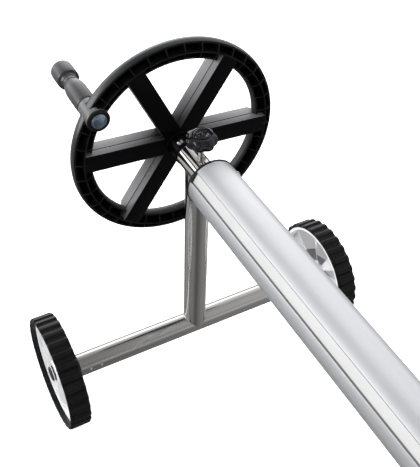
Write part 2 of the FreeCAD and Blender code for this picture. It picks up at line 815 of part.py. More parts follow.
# outer tube and its plug at the drive end
outer_stock = outer_tube_stock()
plug_stock = tube_plug_stock("drive_tube_plug_stock", reel_bore_r, key_z)
put(plug_stock, on_axis(drive_x), strip_turn)
plug_holes = [cross_cylinder(pin_r, 80, drive_x + pin_x, pin_angle)]
screws = []
screw_x = drive_x + plug_screw_x
for k, angle in enumerate(plug_screw_angles):
    plug_holes.append(plug_screw_hole(screw_x, angle, 24))
    screws.append(plug_screw(f"drive_plug_screw_{k}", screw_x, angle, 24.0, reel_r))
pieces.append(cut("drive_tube_plug", plug_stock, plug_holes))
pieces.append(group("drive_plug_screws", screws))
tube_holes = [plug_screw_hole(screw_x, angle, 30) for angle in plug_screw_angles]
pieces.append(cut("outer_tube", outer_stock, tube_holes))
drive_pin = cross_cylinder(pin_r, 60, drive_x + pin_x, pin_angle)
drive_pin.Label = "drive_shaft_pin"
pieces.append(drive_pin)


def collar_stock(place):
    """Guide collar: a keyed sleeve inside the outer tube and a round head beyond its end."""
    opening = d_section(inner_r + run_gap, inner_flat + run_gap)
    body = new_body("tube_collar_stock")
    sketch = new_sketch(body, "YZ_Plane", -30)
    outline(sketch, d_section(reel_bore_r, key_z))
    outline(sketch, opening)
    pad(body, sketch, 30)
    sketch = new_sketch(body, "YZ_Plane")
    ring(sketch, 0, 0, collar_r)
    outline(sketch, opening)
    pad(body, sketch, 26)
    # taper on the head's free end
    revolve(body, [(20.0, collar_r), (26.0, 39.0), (27.0, 39.0), (27.0, 42.5), (20.0, 42.5)],
            cut_away=True)
    return put(body, place, strip_turn)


# collar on the outer tube's open end
collar_x = drive_x + tube_start + outer_len
stock = collar_stock(on_axis(collar_x))
holes, screws = [], []
for k, local_angle in enumerate(collar_screw_angles):
    angle = local_angle + strip_angle.value
    screw_x = collar_x + collar_screw_x
    holes.append(radial_cylinder(collar_screw_r, 20, screw_x, angle, 30))
    screws.append(turned(f"collar_screw_{k}", [
        (35.0, 0), (41.8, 0), (41.8, 2.5), (45.0, 2.5), (45.0, 4.6), (44.5, 5.0),
        (41.5, 5.0), (41.5, collar_screw_r), (35.0, collar_screw_r)],
        on_axis(screw_x), radial_turn(angle)))
pieces.append(cut("tube_collar", stock, holes))
pieces.append(group("collar_screws", screws))

# inner tube and its plug at the idler end
inner_stock = inner_tube_stock()
tube_holes, plug_holes, screws = [], [], []
screw_x = idler_x - plug_screw_x
for k, angle in enumerate(plug_screw_angles):
    tube_holes.append(plug_screw_hole(screw_x, angle, 26))
    plug_holes.append(plug_screw_hole(screw_x, angle, 22))
    screws.append(plug_screw(f"idler_plug_screw_{k}", screw_x, angle, 22.0, inner_r))
pieces.append(cut("inner_tube", inner_stock, tube_holes))
pieces.append(group("idler_plug_screws", screws))

plug_stock = tube_plug_stock("idler_tube_plug_stock", inner_bore_r, inner_key_z)
# turned end for end: local +X to -X, the flat stays on the strip's side
put(plug_stock, on_axis(idler_x), strip_turn.multiply(along_x(-1)))
idler_pin_x = idler_x - pin_x
plug_holes.append(cross_cylinder(pin_r, 80, idler_pin_x, pin_angle))
pieces.append(cut("idler_tube_plug", plug_stock, plug_holes))

# ---------------------------------------------------------------- idler shaft
idler_shaft_end = 44.0        # outer end, on the +X side of the upright
collar_end = 41.5

stock = turned("idler_shaft_stock", shaft_profile(-idler_shaft_end, 95.0),
               on_axis(idler_x), along_x(-1))
pieces.append(cut("idler_shaft", stock, [cross_cylinder(pin_r, 60, idler_pin_x, pin_angle)]))
idler_pin = cross_cylinder(pin_r, 54, idler_pin_x, pin_angle)
idler_pin.Label = "idler_shaft_pin"
pieces.append(idler_pin)
pieces.append(turned("idler_shaft_collar", [
    (31.5, shaft_r), (collar_end, shaft_r), (collar_end, 15.2), (40.7, 16.0),
    (32.3, 16.0), (31.5, 15.2)],
    on_axis(idler_x)))
pieces.append(turned("idler_shaft_cap", [
    (collar_end, shaft_r), (idler_shaft_end, shaft_r), (idler_shaft_end, 0), (47.0, 0),
    (46.8, 6.0), (46.0, 10.0), (44.8, 12.4), (43.4, 13.4), (collar_end, 13.6)],
    on_axis(idler_x)))

# ---------------------------------------------------------------- check and write
doc.recompute()
broken = [f"{obj.Name} {obj.Label} {obj.State}" for obj in doc.Objects
          if any(state in ("Invalid", "Error") for state in obj.State)]
for piece in pieces:
    shape = piece.Shape
    if shape.isNull() or not shape.isValid() or not shape.Solids:
        broken.append("shape of " + piece.Label)
if broken:
    raise SystemExit("broken objects:\n" + "\n".join(broken))
os.makedirs("parts", exist_ok=True)
for piece in pieces:
    piece.Shape.exportStep(f"parts/{piece.Label}.step")
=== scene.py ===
# A reel tube lying along X between two wheeled stands. The drive stand is at the -X end, with a
# handwheel and crank grip outboard of it and a brake knob on top; the idler stand is at the +X end.
# Each stand has a base tube along Y with a caster at either end: "near" at -Y, "far" at +Y.
# The row frame is in metres with Z up. Parts are drawn in mm in their own frames, turned about
# local X, and placed by piece().
import bpy
import bmesh
import json
import math
import numpy as np
from mathutils import Matrix, Vector


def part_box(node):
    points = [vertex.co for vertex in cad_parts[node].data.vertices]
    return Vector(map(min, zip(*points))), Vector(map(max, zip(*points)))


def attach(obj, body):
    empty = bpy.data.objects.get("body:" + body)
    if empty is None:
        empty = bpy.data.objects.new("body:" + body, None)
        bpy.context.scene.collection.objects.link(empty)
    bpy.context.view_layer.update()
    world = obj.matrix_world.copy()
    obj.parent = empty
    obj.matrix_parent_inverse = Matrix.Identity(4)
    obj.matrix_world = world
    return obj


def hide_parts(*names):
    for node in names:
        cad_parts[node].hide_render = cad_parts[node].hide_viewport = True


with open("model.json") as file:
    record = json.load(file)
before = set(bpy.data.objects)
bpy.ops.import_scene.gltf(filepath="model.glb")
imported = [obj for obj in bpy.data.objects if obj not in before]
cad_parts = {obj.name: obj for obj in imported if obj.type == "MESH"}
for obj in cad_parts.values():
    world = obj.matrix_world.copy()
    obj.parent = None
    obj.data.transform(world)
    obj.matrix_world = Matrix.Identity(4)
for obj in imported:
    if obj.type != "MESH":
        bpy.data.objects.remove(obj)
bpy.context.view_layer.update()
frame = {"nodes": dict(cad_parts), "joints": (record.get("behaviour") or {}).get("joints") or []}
NODES = frame["nodes"]
MM = 0.001


# ============================================================ places taken from the frame
def middle(node):
    low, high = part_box(node)
    return (low + high) / 2


def joint_place(name):
    return next(j for j in frame["joints"] if j["name"] == name)["pos_m"]


REEL = Vector(joint_place("reel_spin"))     # drive upright, at reel height
IDLE = Vector(joint_place("idler_spin"))
CRANK = Vector(joint_place("grip_spin"))
CRANK.x = REEL.x
RIM_R = (CRANK - REEL).length / MM          # rim centre line passes through the crank
CRANK_ANGLE = math.atan2(CRANK.z - REEL.z, CRANK.y - REEL.y)
STRIP_ANGLE = math.radians(51.5)            # roll of the reel tubes about X


# ============================================================ node graphs
def scaled(color, factor):
    return tuple(c * factor for c in color)


class Graph:
    """Short calls for building a shader tree. Values may be numbers or sockets."""

    def __init__(self, tree):
        self.tree = tree
        tree.nodes.clear()

    def node(self, kind, **props):
        node = self.tree.nodes.new("ShaderNode" + kind)
        for key, value in props.items():
            setattr(node, key, value)
        return node

    def link(self, source, socket):
        self.tree.links.new(source, socket)

    def put(self, socket, value):
        if isinstance(value, bpy.types.NodeSocket):
            self.link(value, socket)
        else:
            socket.default_value = value

    def remap(self, value, span, to=(0, 1), **props):
        node = self.node("MapRange", **props)
        for i, number in enumerate((*span, *to), 1):
            node.inputs[i].default_value = number
        self.link(value, node.inputs[0])
        return node.outputs[0]

    def math(self, operation, a, b, clamp=False):
        node = self.node("Math", operation=operation, use_clamp=clamp)
        self.put(node.inputs[0], a)
        self.put(node.inputs[1], b)
        return node.outputs[0]

    def mul(self, a, b, clamp=False):
        return self.math("MULTIPLY", a, b, clamp)

    def add(self, a, b):
        return self.math("ADD", a, b)

    def sub(self, a, b):
        return self.math("SUBTRACT", a, b)

    def vector(self, operation, a, b):
        node = self.node("VectorMath", operation=operation)
        self.link(a, node.inputs[0])
        self.put(node.inputs[1], b)
        return node

    def mix(self, factor, a, b):
        node = self.node("Mix", data_type="RGBA")
        self.put(node.inputs[0], factor)
        for i, value in ((6, a), (7, b)):
            if not isinstance(value, bpy.types.NodeSocket):
                value = (*value, 1)
            self.put(node.inputs[i], value)
        return node.outputs[2]

    def axes(self, vector):
        node = self.node("SeparateXYZ")
        self.link(vector, node.inputs[0])
        return node.outputs

    def grey_ramp(self, value, stops):
        """Grey levels over -1..1."""
        node = self.node("ValToRGB")
        elements = node.color_ramp.elements
        while len(elements) < len(stops):
            elements.new(0.5)
        for element, (place, grey) in zip(elements, stops):
            element.position = (place + 1) / 2
            element.color = (grey, grey, grey, 1)
        self.link(self.remap(value, span=(-1.0, 1.0)), node.inputs[0])
        return node.outputs[0]


class Material(Graph):
    """A node material whose textures use the object's own coordinates, in metres."""

    def __init__(self, name):
        self.material = bpy.data.materials.new(name)
        self.material.use_nodes = True
        super().__init__(self.material.node_tree)
        self.output = self.node("OutputMaterial")
        self.place = self.node("TexCoord").outputs["Object"]

    def mapped(self, scale=(1, 1, 1), rotation=(0, 0, 0)):
        node = self.node("Mapping")
        node.inputs["Scale"].default_value = scale
        node.inputs["Rotation"].default_value = rotation
        self.link(self.place, node.inputs["Vector"])
        return node.outputs[0]

    def noise(self, scale, detail=3.0, rough=0.55, vector=None):
        node = self.node("TexNoise")
        node.inputs["Scale"].default_value = scale
        node.inputs["Detail"].default_value = detail
        node.inputs["Roughness"].default_value = rough
        self.link(vector or self.place, node.inputs["Vector"])
        return node.outputs["Fac"]

    def voronoi(self, scale, vector=None, feature="F1"):
        node = self.node("TexVoronoi", feature=feature)
        node.inputs["Scale"].default_value = scale
        self.link(vector or self.place, node.inputs["Vector"])
        return node.outputs["Distance"]

    def facing(self):
        node = self.node("LayerWeight")
        node.inputs["Blend"].default_value = 0.5
        return node.outputs["Facing"]

    def edge(self, radius, gain=5.0):
        """1 along sharp edges, 0 on flats, for wear."""
        bevel = self.node("Bevel", samples=4)
        bevel.inputs["Radius"].default_value = radius
        normal = self.node("NewGeometry").outputs["Normal"]
        dot = self.vector("DOT_PRODUCT", bevel.outputs[0], normal).outputs["Value"]
        return self.mul(self.sub(1.0, dot), gain, clamp=True)

    def bump(self, height, distance):
        node = self.node("Bump")
        node.inputs["Strength"].default_value = 1.0
        node.inputs["Distance"].default_value = distance
        self.link(height, node.inputs["Height"])
        return node.outputs[0]

    def principled(self, color, metallic, rough, normal, specular=0.5):
        shader = self.node("BsdfPrincipled")
        for key, value in (("Base Color", color), ("Metallic", metallic), ("Roughness", rough),
                           ("Specular IOR Level", specular), ("Coat Roughness", 0.1),
                           ("Normal", normal)):
            self.put(shader.inputs[key], value)
        self.link(shader.outputs[0], self.output.inputs[0])
        return shader


# ============================================================ kinds of material
def plastic(name, base, rough, grain=0.00004, grain_scale=1400, lighten=1.6, specular=0.5,
            wear=0.25, ior=1.5, edge=0.0, fade=None):
    """Moulded plastic: fine grain, soft flow marks, scuffed edges. edge cuts the highlight at
    grazing angles; fade = (inner radius, outer radius, strength at the inner one) paints shade
    that darkens it towards the reel's axis."""
    m = Material(name)
    flow = m.noise(scale=14, detail=3, rough=0.5)
    fine = m.noise(scale=grain_scale, detail=2, rough=0.6)
    smudge = m.noise(scale=45, detail=5, rough=0.62)
    color = m.mix(m.remap(flow, span=(0.3, 0.7)), base, scaled(base, lighten))
    patches = m.remap(m.noise(scale=160, detail=4, rough=0.7), span=(0.45, 0.62), to=(0, wear))
    worn = m.mul(m.edge(radius=0.0009), patches)
    color = m.mix(worn, color, tuple(min(1, c * 5 + 0.03) for c in base))
    roughness = m.add(m.remap(smudge, span=(0.3, 0.7), to=(rough * 0.85, rough * 1.18)),
                      m.mul(worn, 0.2))
    highlight = specular
    if edge:
        grazing = m.remap(m.facing(), span=(0.42, 0.92), to=(1.0, 1.0 - edge))
        highlight = m.mul(grazing, specular)
    # painted shade: colour and highlight darken towards the reel's axis, where the spokes meet the
    # hub
    if fade:
        inner, outer, least = fade
        place = m.node("TexCoord").outputs["Object"]
        away = m.vector("SUBTRACT", place, (0, REEL.y, REEL.z)).outputs[0]
        flat = m.vector("MULTIPLY", away, (0, 1, 1)).outputs[0]
        length = m.node("VectorMath", operation="LENGTH")
        m.link(flat, length.inputs[0])
        light = m.remap(length.outputs["Value"], span=(inner, outer), to=(least, 1.0))
        color = m.mix(light, scaled(base, 0.12), color)
        highlight = m.mul(light, highlight)
    bump = m.bump(m.add(fine, m.mul(flow, 0.6)), distance=grain)
    shader = m.principled(color, 0.0, roughness, bump, specular=specular)
    shader.inputs["IOR"].default_value = ior
    if edge or fade:
        m.link(highlight, shader.inputs["Specular IOR Level"])
    return m.material


def brushed(name, base, rough, along, line=0.00001, metal=1.0, contrast=0.12, tint=None,
            streak=1300, scuff=0.18, edge=0.0):
    """Metal with a fine grain along one axis, rubbed patches and hairline scratches. edge
    paints a dark reflection onto upward-facing surfaces at grazing angles."""
    m = Material(name)
    stretch = tuple(7.0 if axis == along else streak for axis in "xyz")
    coarse_stretch = tuple(s / 5.0 for s in stretch)
    fine = m.noise(scale=1.0, detail=3, rough=0.6, vector=m.mapped(stretch))
    coarse = m.noise(scale=1.0, detail=3, rough=0.6, vector=m.mapped(coarse_stretch))
    cloud = m.noise(scale=16, detail=4, rough=0.6)
    grain = m.add(m.mul(fine, 0.6), m.mul(coarse, 0.4))
    color = m.mix(m.remap(grain, span=(0.35, 0.65)), scaled(base, 1 - contrast), base)
    if tint is not None:
        color = m.mix(m.remap(cloud, span=(0.42, 0.62), to=(0, 0.5)), color, tint)
    cells = m.voronoi(scale=60, vector=m.mapped(rotation=(0.4, 0.9, 0.2)),
                      feature="DISTANCE_TO_EDGE")
    hair = m.remap(cells, span=(0.0, 0.012), to=(1.0, 0.0))
    scattered = m.remap(m.noise(scale=25, detail=2, rough=0.5), span=(0.55, 0.6))
    hair = m.mul(hair, scattered)
    roughness = m.add(
        m.remap(cloud, span=(0.3, 0.7), to=(rough * (1 - scuff), rough * (1 + scuff))),
        m.mul(grain, rough * 0.25))
    roughness = m.add(roughness, m.mul(hair, 0.08))
    height = m.sub(grain, m.mul(hair, 0.5))
    # painted reflection: a dark band on upward-facing surfaces seen at grazing angles
    if edge:
        up = m.axes(m.node("NewGeometry").outputs["Normal"])["Z"]
        shade = m.mul(m.remap(m.facing(), span=(0.43, 0.58), to=(0.0, edge)),
                      m.remap(up, span=(0.1, 0.4)))
        color = m.mix(shade, color, (0.02, 0.021, 0.024))
    m.principled(color, metal, roughness, m.bump(height, distance=line))
    return m.material


def rubber(name):
    """Near-black rubber with paler rubbed edges."""
    m = Material(name)
    fine = m.noise(scale=900, detail=3, rough=0.6)
    blot = m.noise(scale=38, detail=5, rough=0.65)
    color = m.mix(m.remap(blot, span=(0.3, 0.7)), (0.0011, 0.0011, 0.0014),
                  (0.0036, 0.0036, 0.0042))
    patches = m.remap(m.noise(scale=120, detail=4, rough=0.7), span=(0.4, 0.6), to=(0.0, 0.5))
    color = m.mix(m.mul(m.edge(radius=0.0012), patches), color, (0.085, 0.083, 0.080))
    roughness = m.remap(blot, span=(0.3, 0.7), to=(0.30, 0.42))
    m.principled(color, 0.0, roughness, m.bump(m.add(fine, blot), distance=0.00003),
                 specular=0.30)
    return m.material


def zinc(name, base, rough, tint, bump=0.00003):
    """Plated steel: spangle-like mottling and tool marks."""
    m = Material(name)
    spangle = m.voronoi(scale=420)
    cloud = m.noise(scale=120, detail=4, rough=0.6)
    color = m.mix(m.remap(spangle, span=(0.0, 0.7), to=(0, 0.6)), base, tint)
    color = m.mix(m.remap(cloud, span=(0.45, 0.6), to=(0, 0.5)), color, scaled(base, 0.72))
    roughness = m.remap(cloud, span=(0.3, 0.7), to=(rough - 0.06, rough + 0.08))
    height = m.add(spangle, m.noise(scale=1500, detail=2))
    m.principled(color, 1.0, roughness, m.bump(height, distance=bump))
    return m.material


# ============================================================ the materials
POLISHED = dict(base=(0.80, 0.79, 0.775))
RUBBED = (0.71, 0.70, 0.68)
ANODISED = dict(along="x", streak=900)
SILVER = dict(along="y", contrast=0.03)
# sides of the spokes and ribs: lit grey copies of the black wheel plastic, a painted sheen, with
# painted shade towards the hub
WHEEL_SIDE = dict(grain=0.000012, grain_scale=1100, lighten=1.2, wear=0.05, specular=0.8,
                  edge=0.5, fade=(0.030, 0.125, 0.10))

M = {}
M["steel_x"] = brushed("polished_steel_x", **POLISHED, rough=0.10, along="x",
                       tint=(0.73, 0.72, 0.70))
# edge paints a dark reflection along the base tube's top edges
M["steel_y"] = brushed("polished_steel_y", **POLISHED, rough=0.13, along="y", tint=RUBBED,
                       edge=0.84)
M["steel_z"] = brushed("polished_steel_z", **POLISHED, rough=0.12, along="z", tint=RUBBED)
M["weld"] = zinc("weld_steel", base=(0.60, 0.585, 0.565), rough=0.26, tint=(0.68, 0.665, 0.65))
M["zinc"] = zinc("zinc_steel", base=(0.72, 0.73, 0.75), rough=0.24, tint=(0.80, 0.80, 0.78))
M["rivet"] = zinc("rivet_aluminium", base=(0.95, 0.95, 0.96), rough=0.50,
                  tint=(0.97, 0.97, 0.97), bump=0.000001)
M["blue"] = zinc("blue_zinc_steel", base=(0.36, 0.48, 0.62), rough=0.26,
                 tint=(0.36, 0.44, 0.54))
M["ano"] = brushed("anodised_tube", base=(0.836, 0.849, 0.876), rough=0.27, line=0.000004,
                   metal=0.85, contrast=0.035, scuff=0.08, **ANODISED)
# painted shade: the groove's dark grey stands in for the shadow on its step wall
M["ano_dark"] = brushed("anodised_groove_painted_shade", base=(0.20, 0.20, 0.20), rough=0.5, line=0.000006,
                        metal=0.5, contrast=0.1, **ANODISED)
M["ano_seam"] = brushed("anodised_seam", base=(0.16, 0.16, 0.16), rough=0.5, line=0.000006,
                        metal=0.3, contrast=0.1, **ANODISED)
M["ano_pale"] = brushed("anodised_strip", base=(0.53, 0.53, 0.53), rough=0.55, line=0.000008,
                        metal=0.25, contrast=0.05, **ANODISED)
M["wheel"] = plastic("wheel_plastic", base=(0.0016, 0.0016, 0.0018), rough=0.42, grain=0.00002,
                     grain_scale=1500, wear=0.35, specular=0.36)
# painted shade: a darker copy of the wheel plastic for the front faces and the hub recess
M["wheel_face_painted_shade"] = plastic("wheel_face_painted_shade", base=(0.0007, 0.0007, 0.0008), rough=0.40,
                          grain=0.00002, grain_scale=1500, wear=0.45, specular=0.12)
# painted sheen: a bluish lit copy of the wheel plastic for the rim's outer skin
M["wheel_skin_painted_sheen"] = plastic("wheel_skin_painted_sheen", base=(0.0038, 0.0044, 0.0060), rough=0.19,
                          grain=0.000004, grain_scale=1500, wear=0.05, specular=1.0, ior=1.55,
                          edge=0.86)
# painted light: a lighter copy of the wheel plastic for the rim's inner skin, facing the axis
M["wheel_in"] = plastic("wheel_inner_skin_painted_light", base=(0.012, 0.0125, 0.0135), rough=0.36,
                        grain=0.000006, grain_scale=1500, wear=0.05, specular=0.45, edge=0.8)
# painted sheen: grey lit copies of the black wheel plastic for the spoke walls, the far half
# painted lighter than the near half
M["wheel_side"] = plastic("wheel_side", base=(0.115, 0.115, 0.120), rough=0.30, **WHEEL_SIDE)
M["wheel_far"] = plastic("wheel_side_far_painted_light", base=(0.165, 0.165, 0.170), rough=0.34, **WHEEL_SIDE)
# painted sheen: a lighter grey copy of the wheel plastic for the crank boss
M["wheel_boss_painted_sheen"] = plastic("wheel_boss_painted_sheen", base=(0.040, 0.041, 0.043), rough=0.24, grain=0.000006,
                          grain_scale=1200, lighten=1.2, wear=0.03, specular=1.0, ior=1.68,
                          edge=0.6)
M["knob"] = plastic("knob_plastic", base=(0.0018, 0.0018, 0.0030), rough=0.12, grain=0.0000004,
                    grain_scale=400, wear=0.0, specular=0.60, ior=1.55, edge=0.75)
M["grip"] = plastic("grip_plastic", base=(0.016, 0.0165, 0.0190), rough=0.19, grain=0.0000010,
                    grain_scale=900, lighten=1.12, wear=0.0, specular=0.92, ior=1.52, edge=0.92)
M["black"] = plastic("black_plastic", base=(0.0025, 0.0025, 0.0028), rough=0.36, grain=0.00002,
                     wear=0.15, specular=0.35)
M["nylon"] = plastic("nylon", base=(0.50, 0.49, 0.45), rough=0.45, grain=0.00002, lighten=1.05,
                     wear=0.05)
M["nylon_black"] = plastic("nylon_black", base=(0.012, 0.012, 0.013), rough=0.42,
                           grain=0.00002, wear=0.1)
M["rubber"] = rubber("tyre_rubber")
M["hub"] = brushed("hub_silver", base=(0.93, 0.93, 0.95), rough=0.20, line=0.000003,
                   metal=0.40, scuff=0.2, **SILVER)
# painted shade: darker copies of the hub silver for one flank of each pleat on the inner face
M["hub_mid"] = brushed("hub_silver_painted_shade", base=(0.50, 0.50, 0.52), rough=0.34, line=0.000001,
                       metal=0.35, scuff=0.1, **SILVER)
M["hub_dark"] = brushed("hub_silver_painted_deep_shade", base=(0.16, 0.16, 0.17), rough=0.30, along="y",
                        line=0.000001, metal=0.5, contrast=0.04, scuff=0.1)
M["hub_rim"] = brushed("hub_rim_white", base=(0.92, 0.92, 0.93), rough=0.3, line=0.000004,
                       metal=0.1, scuff=0.2, **SILVER)
M["axle"] = plastic("axle_cap_plastic", base=(0.012, 0.012, 0.013), rough=0.3, grain=0.00002,
                    wear=0.3)


# ============================================================ mesh tools
# A part is (vertices, faces). A turned part's profile has rows of (axial, radius, corner radius).
def round_profile(rows, steps=3, closed=True):
    """Rounds the corners of a profile; gives (axial, radius) points."""
    count = len(rows)
    out = []
    for i in range(count):
        corner = np.array(rows[i][:2], float)
        radius = rows[i][2]
        if (not closed and i in (0, count - 1)) or radius <= 0:
            out.append(tuple(corner))
            continue
        back = np.array(rows[i - 1][:2], float) - corner
        ahead = np.array(rows[(i + 1) % count][:2], float) - corner
        back_len, ahead_len = np.linalg.norm(back), np.linalg.norm(ahead)
        if back_len < 1e-9 or ahead_len < 1e-9:
            out.append(tuple(corner))
            continue
        angle = math.acos(float(np.clip(back @ ahead / back_len / ahead_len, -1, 1)))
        if angle > math.radians(172):
            out.append(tuple(corner))
            continue
        cut = min(radius / math.tan(angle / 2), 0.46 * back_len, 0.46 * ahead_len)
        start, end = corner + back / back_len * cut, corner + ahead / ahead_len * cut
        for k in range(steps + 1):
            u = k / steps
            out.append(tuple((1 - u) ** 2 * start + 2 * u * (1 - u) * corner + u * u * end))
    return out


def ring_faces(rings, points, closed=True):
    """Quads round a ring of copies of one profile, numbered profile by profile."""
    faces = []
    for j in range(rings):
        here, following = j * points, (j + 1) % rings * points
        for i in range(points if closed else points - 1):
            i2 = (i + 1) % points
            faces.append((here + i, following + i, following + i2, here + i2))
    return faces


def stack_faces(levels, points, caps=False):
    """Quads between closed loops laid one on another, numbered loop by loop."""
    faces = []
    for i in range(levels - 1):
        here, above = i * points, (i + 1) * points
        for k in range(points):
            k2 = (k + 1) % points
            faces.append((here + k, here + k2, above + k2, above + k))
    if caps:
        last = (levels - 1) * points
        faces.append(tuple(range(points)))
        faces.append(tuple(last + k for k in reversed(range(points))))
    return faces


def lathe(profile, sides=96, closed=True):
    """Turns (axial, radius) points about local X."""
    verts = []
    for j in range(sides):
        a = 2 * math.pi * j / sides
        c, s = math.cos(a), math.sin(a)
        verts.extend((x, r * c, r * s) for x, r in profile)
    return verts, ring_faces(sides, len(profile), closed)


def turned(rows, sides=96, steps=3, closed=True):
    return lathe(round_profile(rows, steps, closed), sides, closed)


def join(parts):
    verts, faces = [], []
    for part_verts, part_faces in parts:
        first = len(verts)
        verts.extend(part_verts)
        faces.extend(tuple(i + first for i in face) for face in part_faces)
    return verts, faces


def moved(part, matrix):
    return [tuple(matrix @ Vector(p)) for p in part[0]], part[1]


def rot_x(angle):
    return Matrix.Rotation(angle, 4, "X")


def arc(cx, cy, radius, start, end, steps):
    """Points on a circle from start to end, in degrees."""
    angles = [math.radians(start + (end - start) * k / steps) for k in range(steps + 1)]
    return [(cx + radius * math.cos(a), cy + radius * math.sin(a)) for a in angles]


def clamp01(value):
    return max(0.0, min(1.0, value))


# turns local X to the named axis
AXIS = {
    "x": Matrix.Identity(4),
    "-x": Matrix.Rotation(math.pi, 4, "Z"),
    "y": Matrix.Rotation(math.pi / 2, 4, "Z"),
    "-y": Matrix.Rotation(-math.pi / 2, 4, "Z"),
    "z": Matrix.Rotation(-math.pi / 2, 4, "Y"),
}


def piece(name, part, mats, body, at, rot=None, repl=(), sharp=34, merge=0.002,
          extra=None, pick=None):
    """A finished object. at is the part's origin in metres, mats names its materials in M,
    sharp is in degrees and merge in mm. extra edits the bmesh first; pick(polygon, mesh) names
    the material of a face."""
    mats = (mats,) if isinstance(mats, str) else mats
    mesh = bpy.data.meshes.new(name)
    place = Matrix.Translation(Vector(at)) @ (rot or Matrix.Identity(4)) @ Matrix.Scale(MM, 4)
    mesh.from_pydata([tuple(place @ Vector(p)) for p in part[0]], [], [list(f) for f in part[1]])
    bm = bmesh.new()
    bm.from_mesh(mesh)
    if extra:
        extra(bm)
    bmesh.ops.remove_doubles(bm, verts=bm.verts, dist=merge * MM)
    empty = [f for f in bm.faces if f.calc_area() < 1e-13]
    if empty:
        bmesh.ops.delete(bm, geom=empty, context="FACES_ONLY")
    bmesh.ops.recalc_face_normals(bm, faces=bm.faces)
    limit = math.radians(sharp)
    for e in bm.edges:
        e.smooth = not (len(e.link_faces) == 2 and e.calc_face_angle(0) > limit)
    for f in bm.faces:
        f.smooth = True
    bm.to_mesh(mesh)
    bm.free()
    for key in mats:
        mesh.materials.append(M[key])
    ob = bpy.data.objects.new(name, mesh)
    bpy.context.scene.collection.objects.link(ob)
    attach(ob, body)
    if repl:
        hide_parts(*repl)
    if pick:
        for polygon in ob.data.polygons:
            polygon.material_index = mats.index(pick(polygon, ob.data))


# ============================================================ stands
TUBE_R = 19.0          # base tube, upright and sleeve share this outer radius
TUBE_WALL = 1.5
WELD_SIZE = 2.0
RIVET_TILT = math.radians(12)
RIVET_INSETS = (36, 17)    # rivet rows, in from the base tube's end


def weld_ring(up, other):
    """A slim rippled fillet along the saddle where two equal tubes meet: one along Z, the other
    along the axis named. It lies on the side given by up, and runs out to nothing at the two
    sides, where the tubes are tangent."""
    verts = []
    rings, points = 300, 9
    for j in range(rings):
        a = 2 * math.pi * j / rings
        cx, cy = math.cos(a), math.sin(a)
        off = cx if other == "y" else cy
        h = math.sqrt(max(0.0, 1 - off * off))
        p = np.array([TUBE_R * cx, TUBE_R * cy, TUBE_R * h * up])
        upright_normal = np.array([cx, cy, 0.0])
        other_normal = np.array([cx if other == "y" else 0.0, cy if other == "x" else 0.0,
                                 up * h])
        other_normal = other_normal / max(1e-9, np.linalg.norm(other_normal))
        cosine = float(upright_normal @ other_normal)
        along_upright = other_normal - upright_normal * cosine
        along_other = upright_normal - other_normal * cosine
        ripple = 1 + 0.07 * math.sin(a * 46) + 0.04 * math.sin(a * 17 + 1)
        size = WELD_SIZE * h ** 0.7 * ripple
        legs = []
        for leg in (along_upright, along_other):
            length = np.linalg.norm(leg)
            legs.append(leg / max(length, 1e-3) * size * min(1.0, length * 4))
        sink = (upright_normal + other_normal) * 0.12
        for i in range(points):
            t = i / (points - 1)
            verts.append(tuple(p + legs[0] * (1 - t) ** 1.5 + legs[1] * t ** 1.5 - sink))
    return verts, ring_faces(rings, points, closed=False)


def end_plug(half):
    """Plug in the end of a base tube that reaches half from the middle."""
    rows = [(half - 50, 0, 0), (half - 50, 17.4, 0.3), (half + 0.05, 17.4, 0.1),
            (half + 0.05, 20.4, 0.4), (half + 3.4, 20.4, 0.3), (half + 4.0, 19.9, 0.3),
            (half + 4.6, 20.4, 0.3), (half + 8.6, 20.3, 1.2), (half + 10.0, 18.4, 1.0),
            (half + 10.0, 0, 0)]
    return turned(rows, steps=4, closed=False)


def rivets(half, end, side):
    """Two domed rivets through the base tube wall, tilted up from side * X."""
    quarter = [math.pi / 2 * k / 7 for k in range(8)]
    profile = [(14, 0), (14, 1.9), (18.8, 1.9), (18.8, 2.0)]
    profile += [(18.95 + 0.9 * math.sin(t), 2.0 * math.cos(t)) for t in quarter]
    way = Vector((math.cos(RIVET_TILT) * side, 0, math.sin(RIVET_TILT)))
    turn = Vector((1, 0, 0)).rotation_difference(way).to_matrix().to_4x4()
    return join([moved(lathe(profile, 32, closed=False),
                       Matrix.Translation((0, end * (half - inset), 0)) @ turn)
                 for inset in RIVET_INSETS])


# (distance from the stand's middle, radius, corner radius): shank, then a shallow dished head
AXLE = [(211, 0, 0), (211, 5.0, 0.4), (269.6, 5.0, 0.2), (269.6, 13.3, 0.3), (270.7, 13.3, 0.8),
        (272.3, 12.4, 0.9), (273.4, 10.2, 0.8), (273.6, 8.6, 0.8), (273.1, 7.0, 0.8),
        (272.7, 5.4, 1.0), (273.3, 3.0, 1.0), (273.5, 0, 0)]


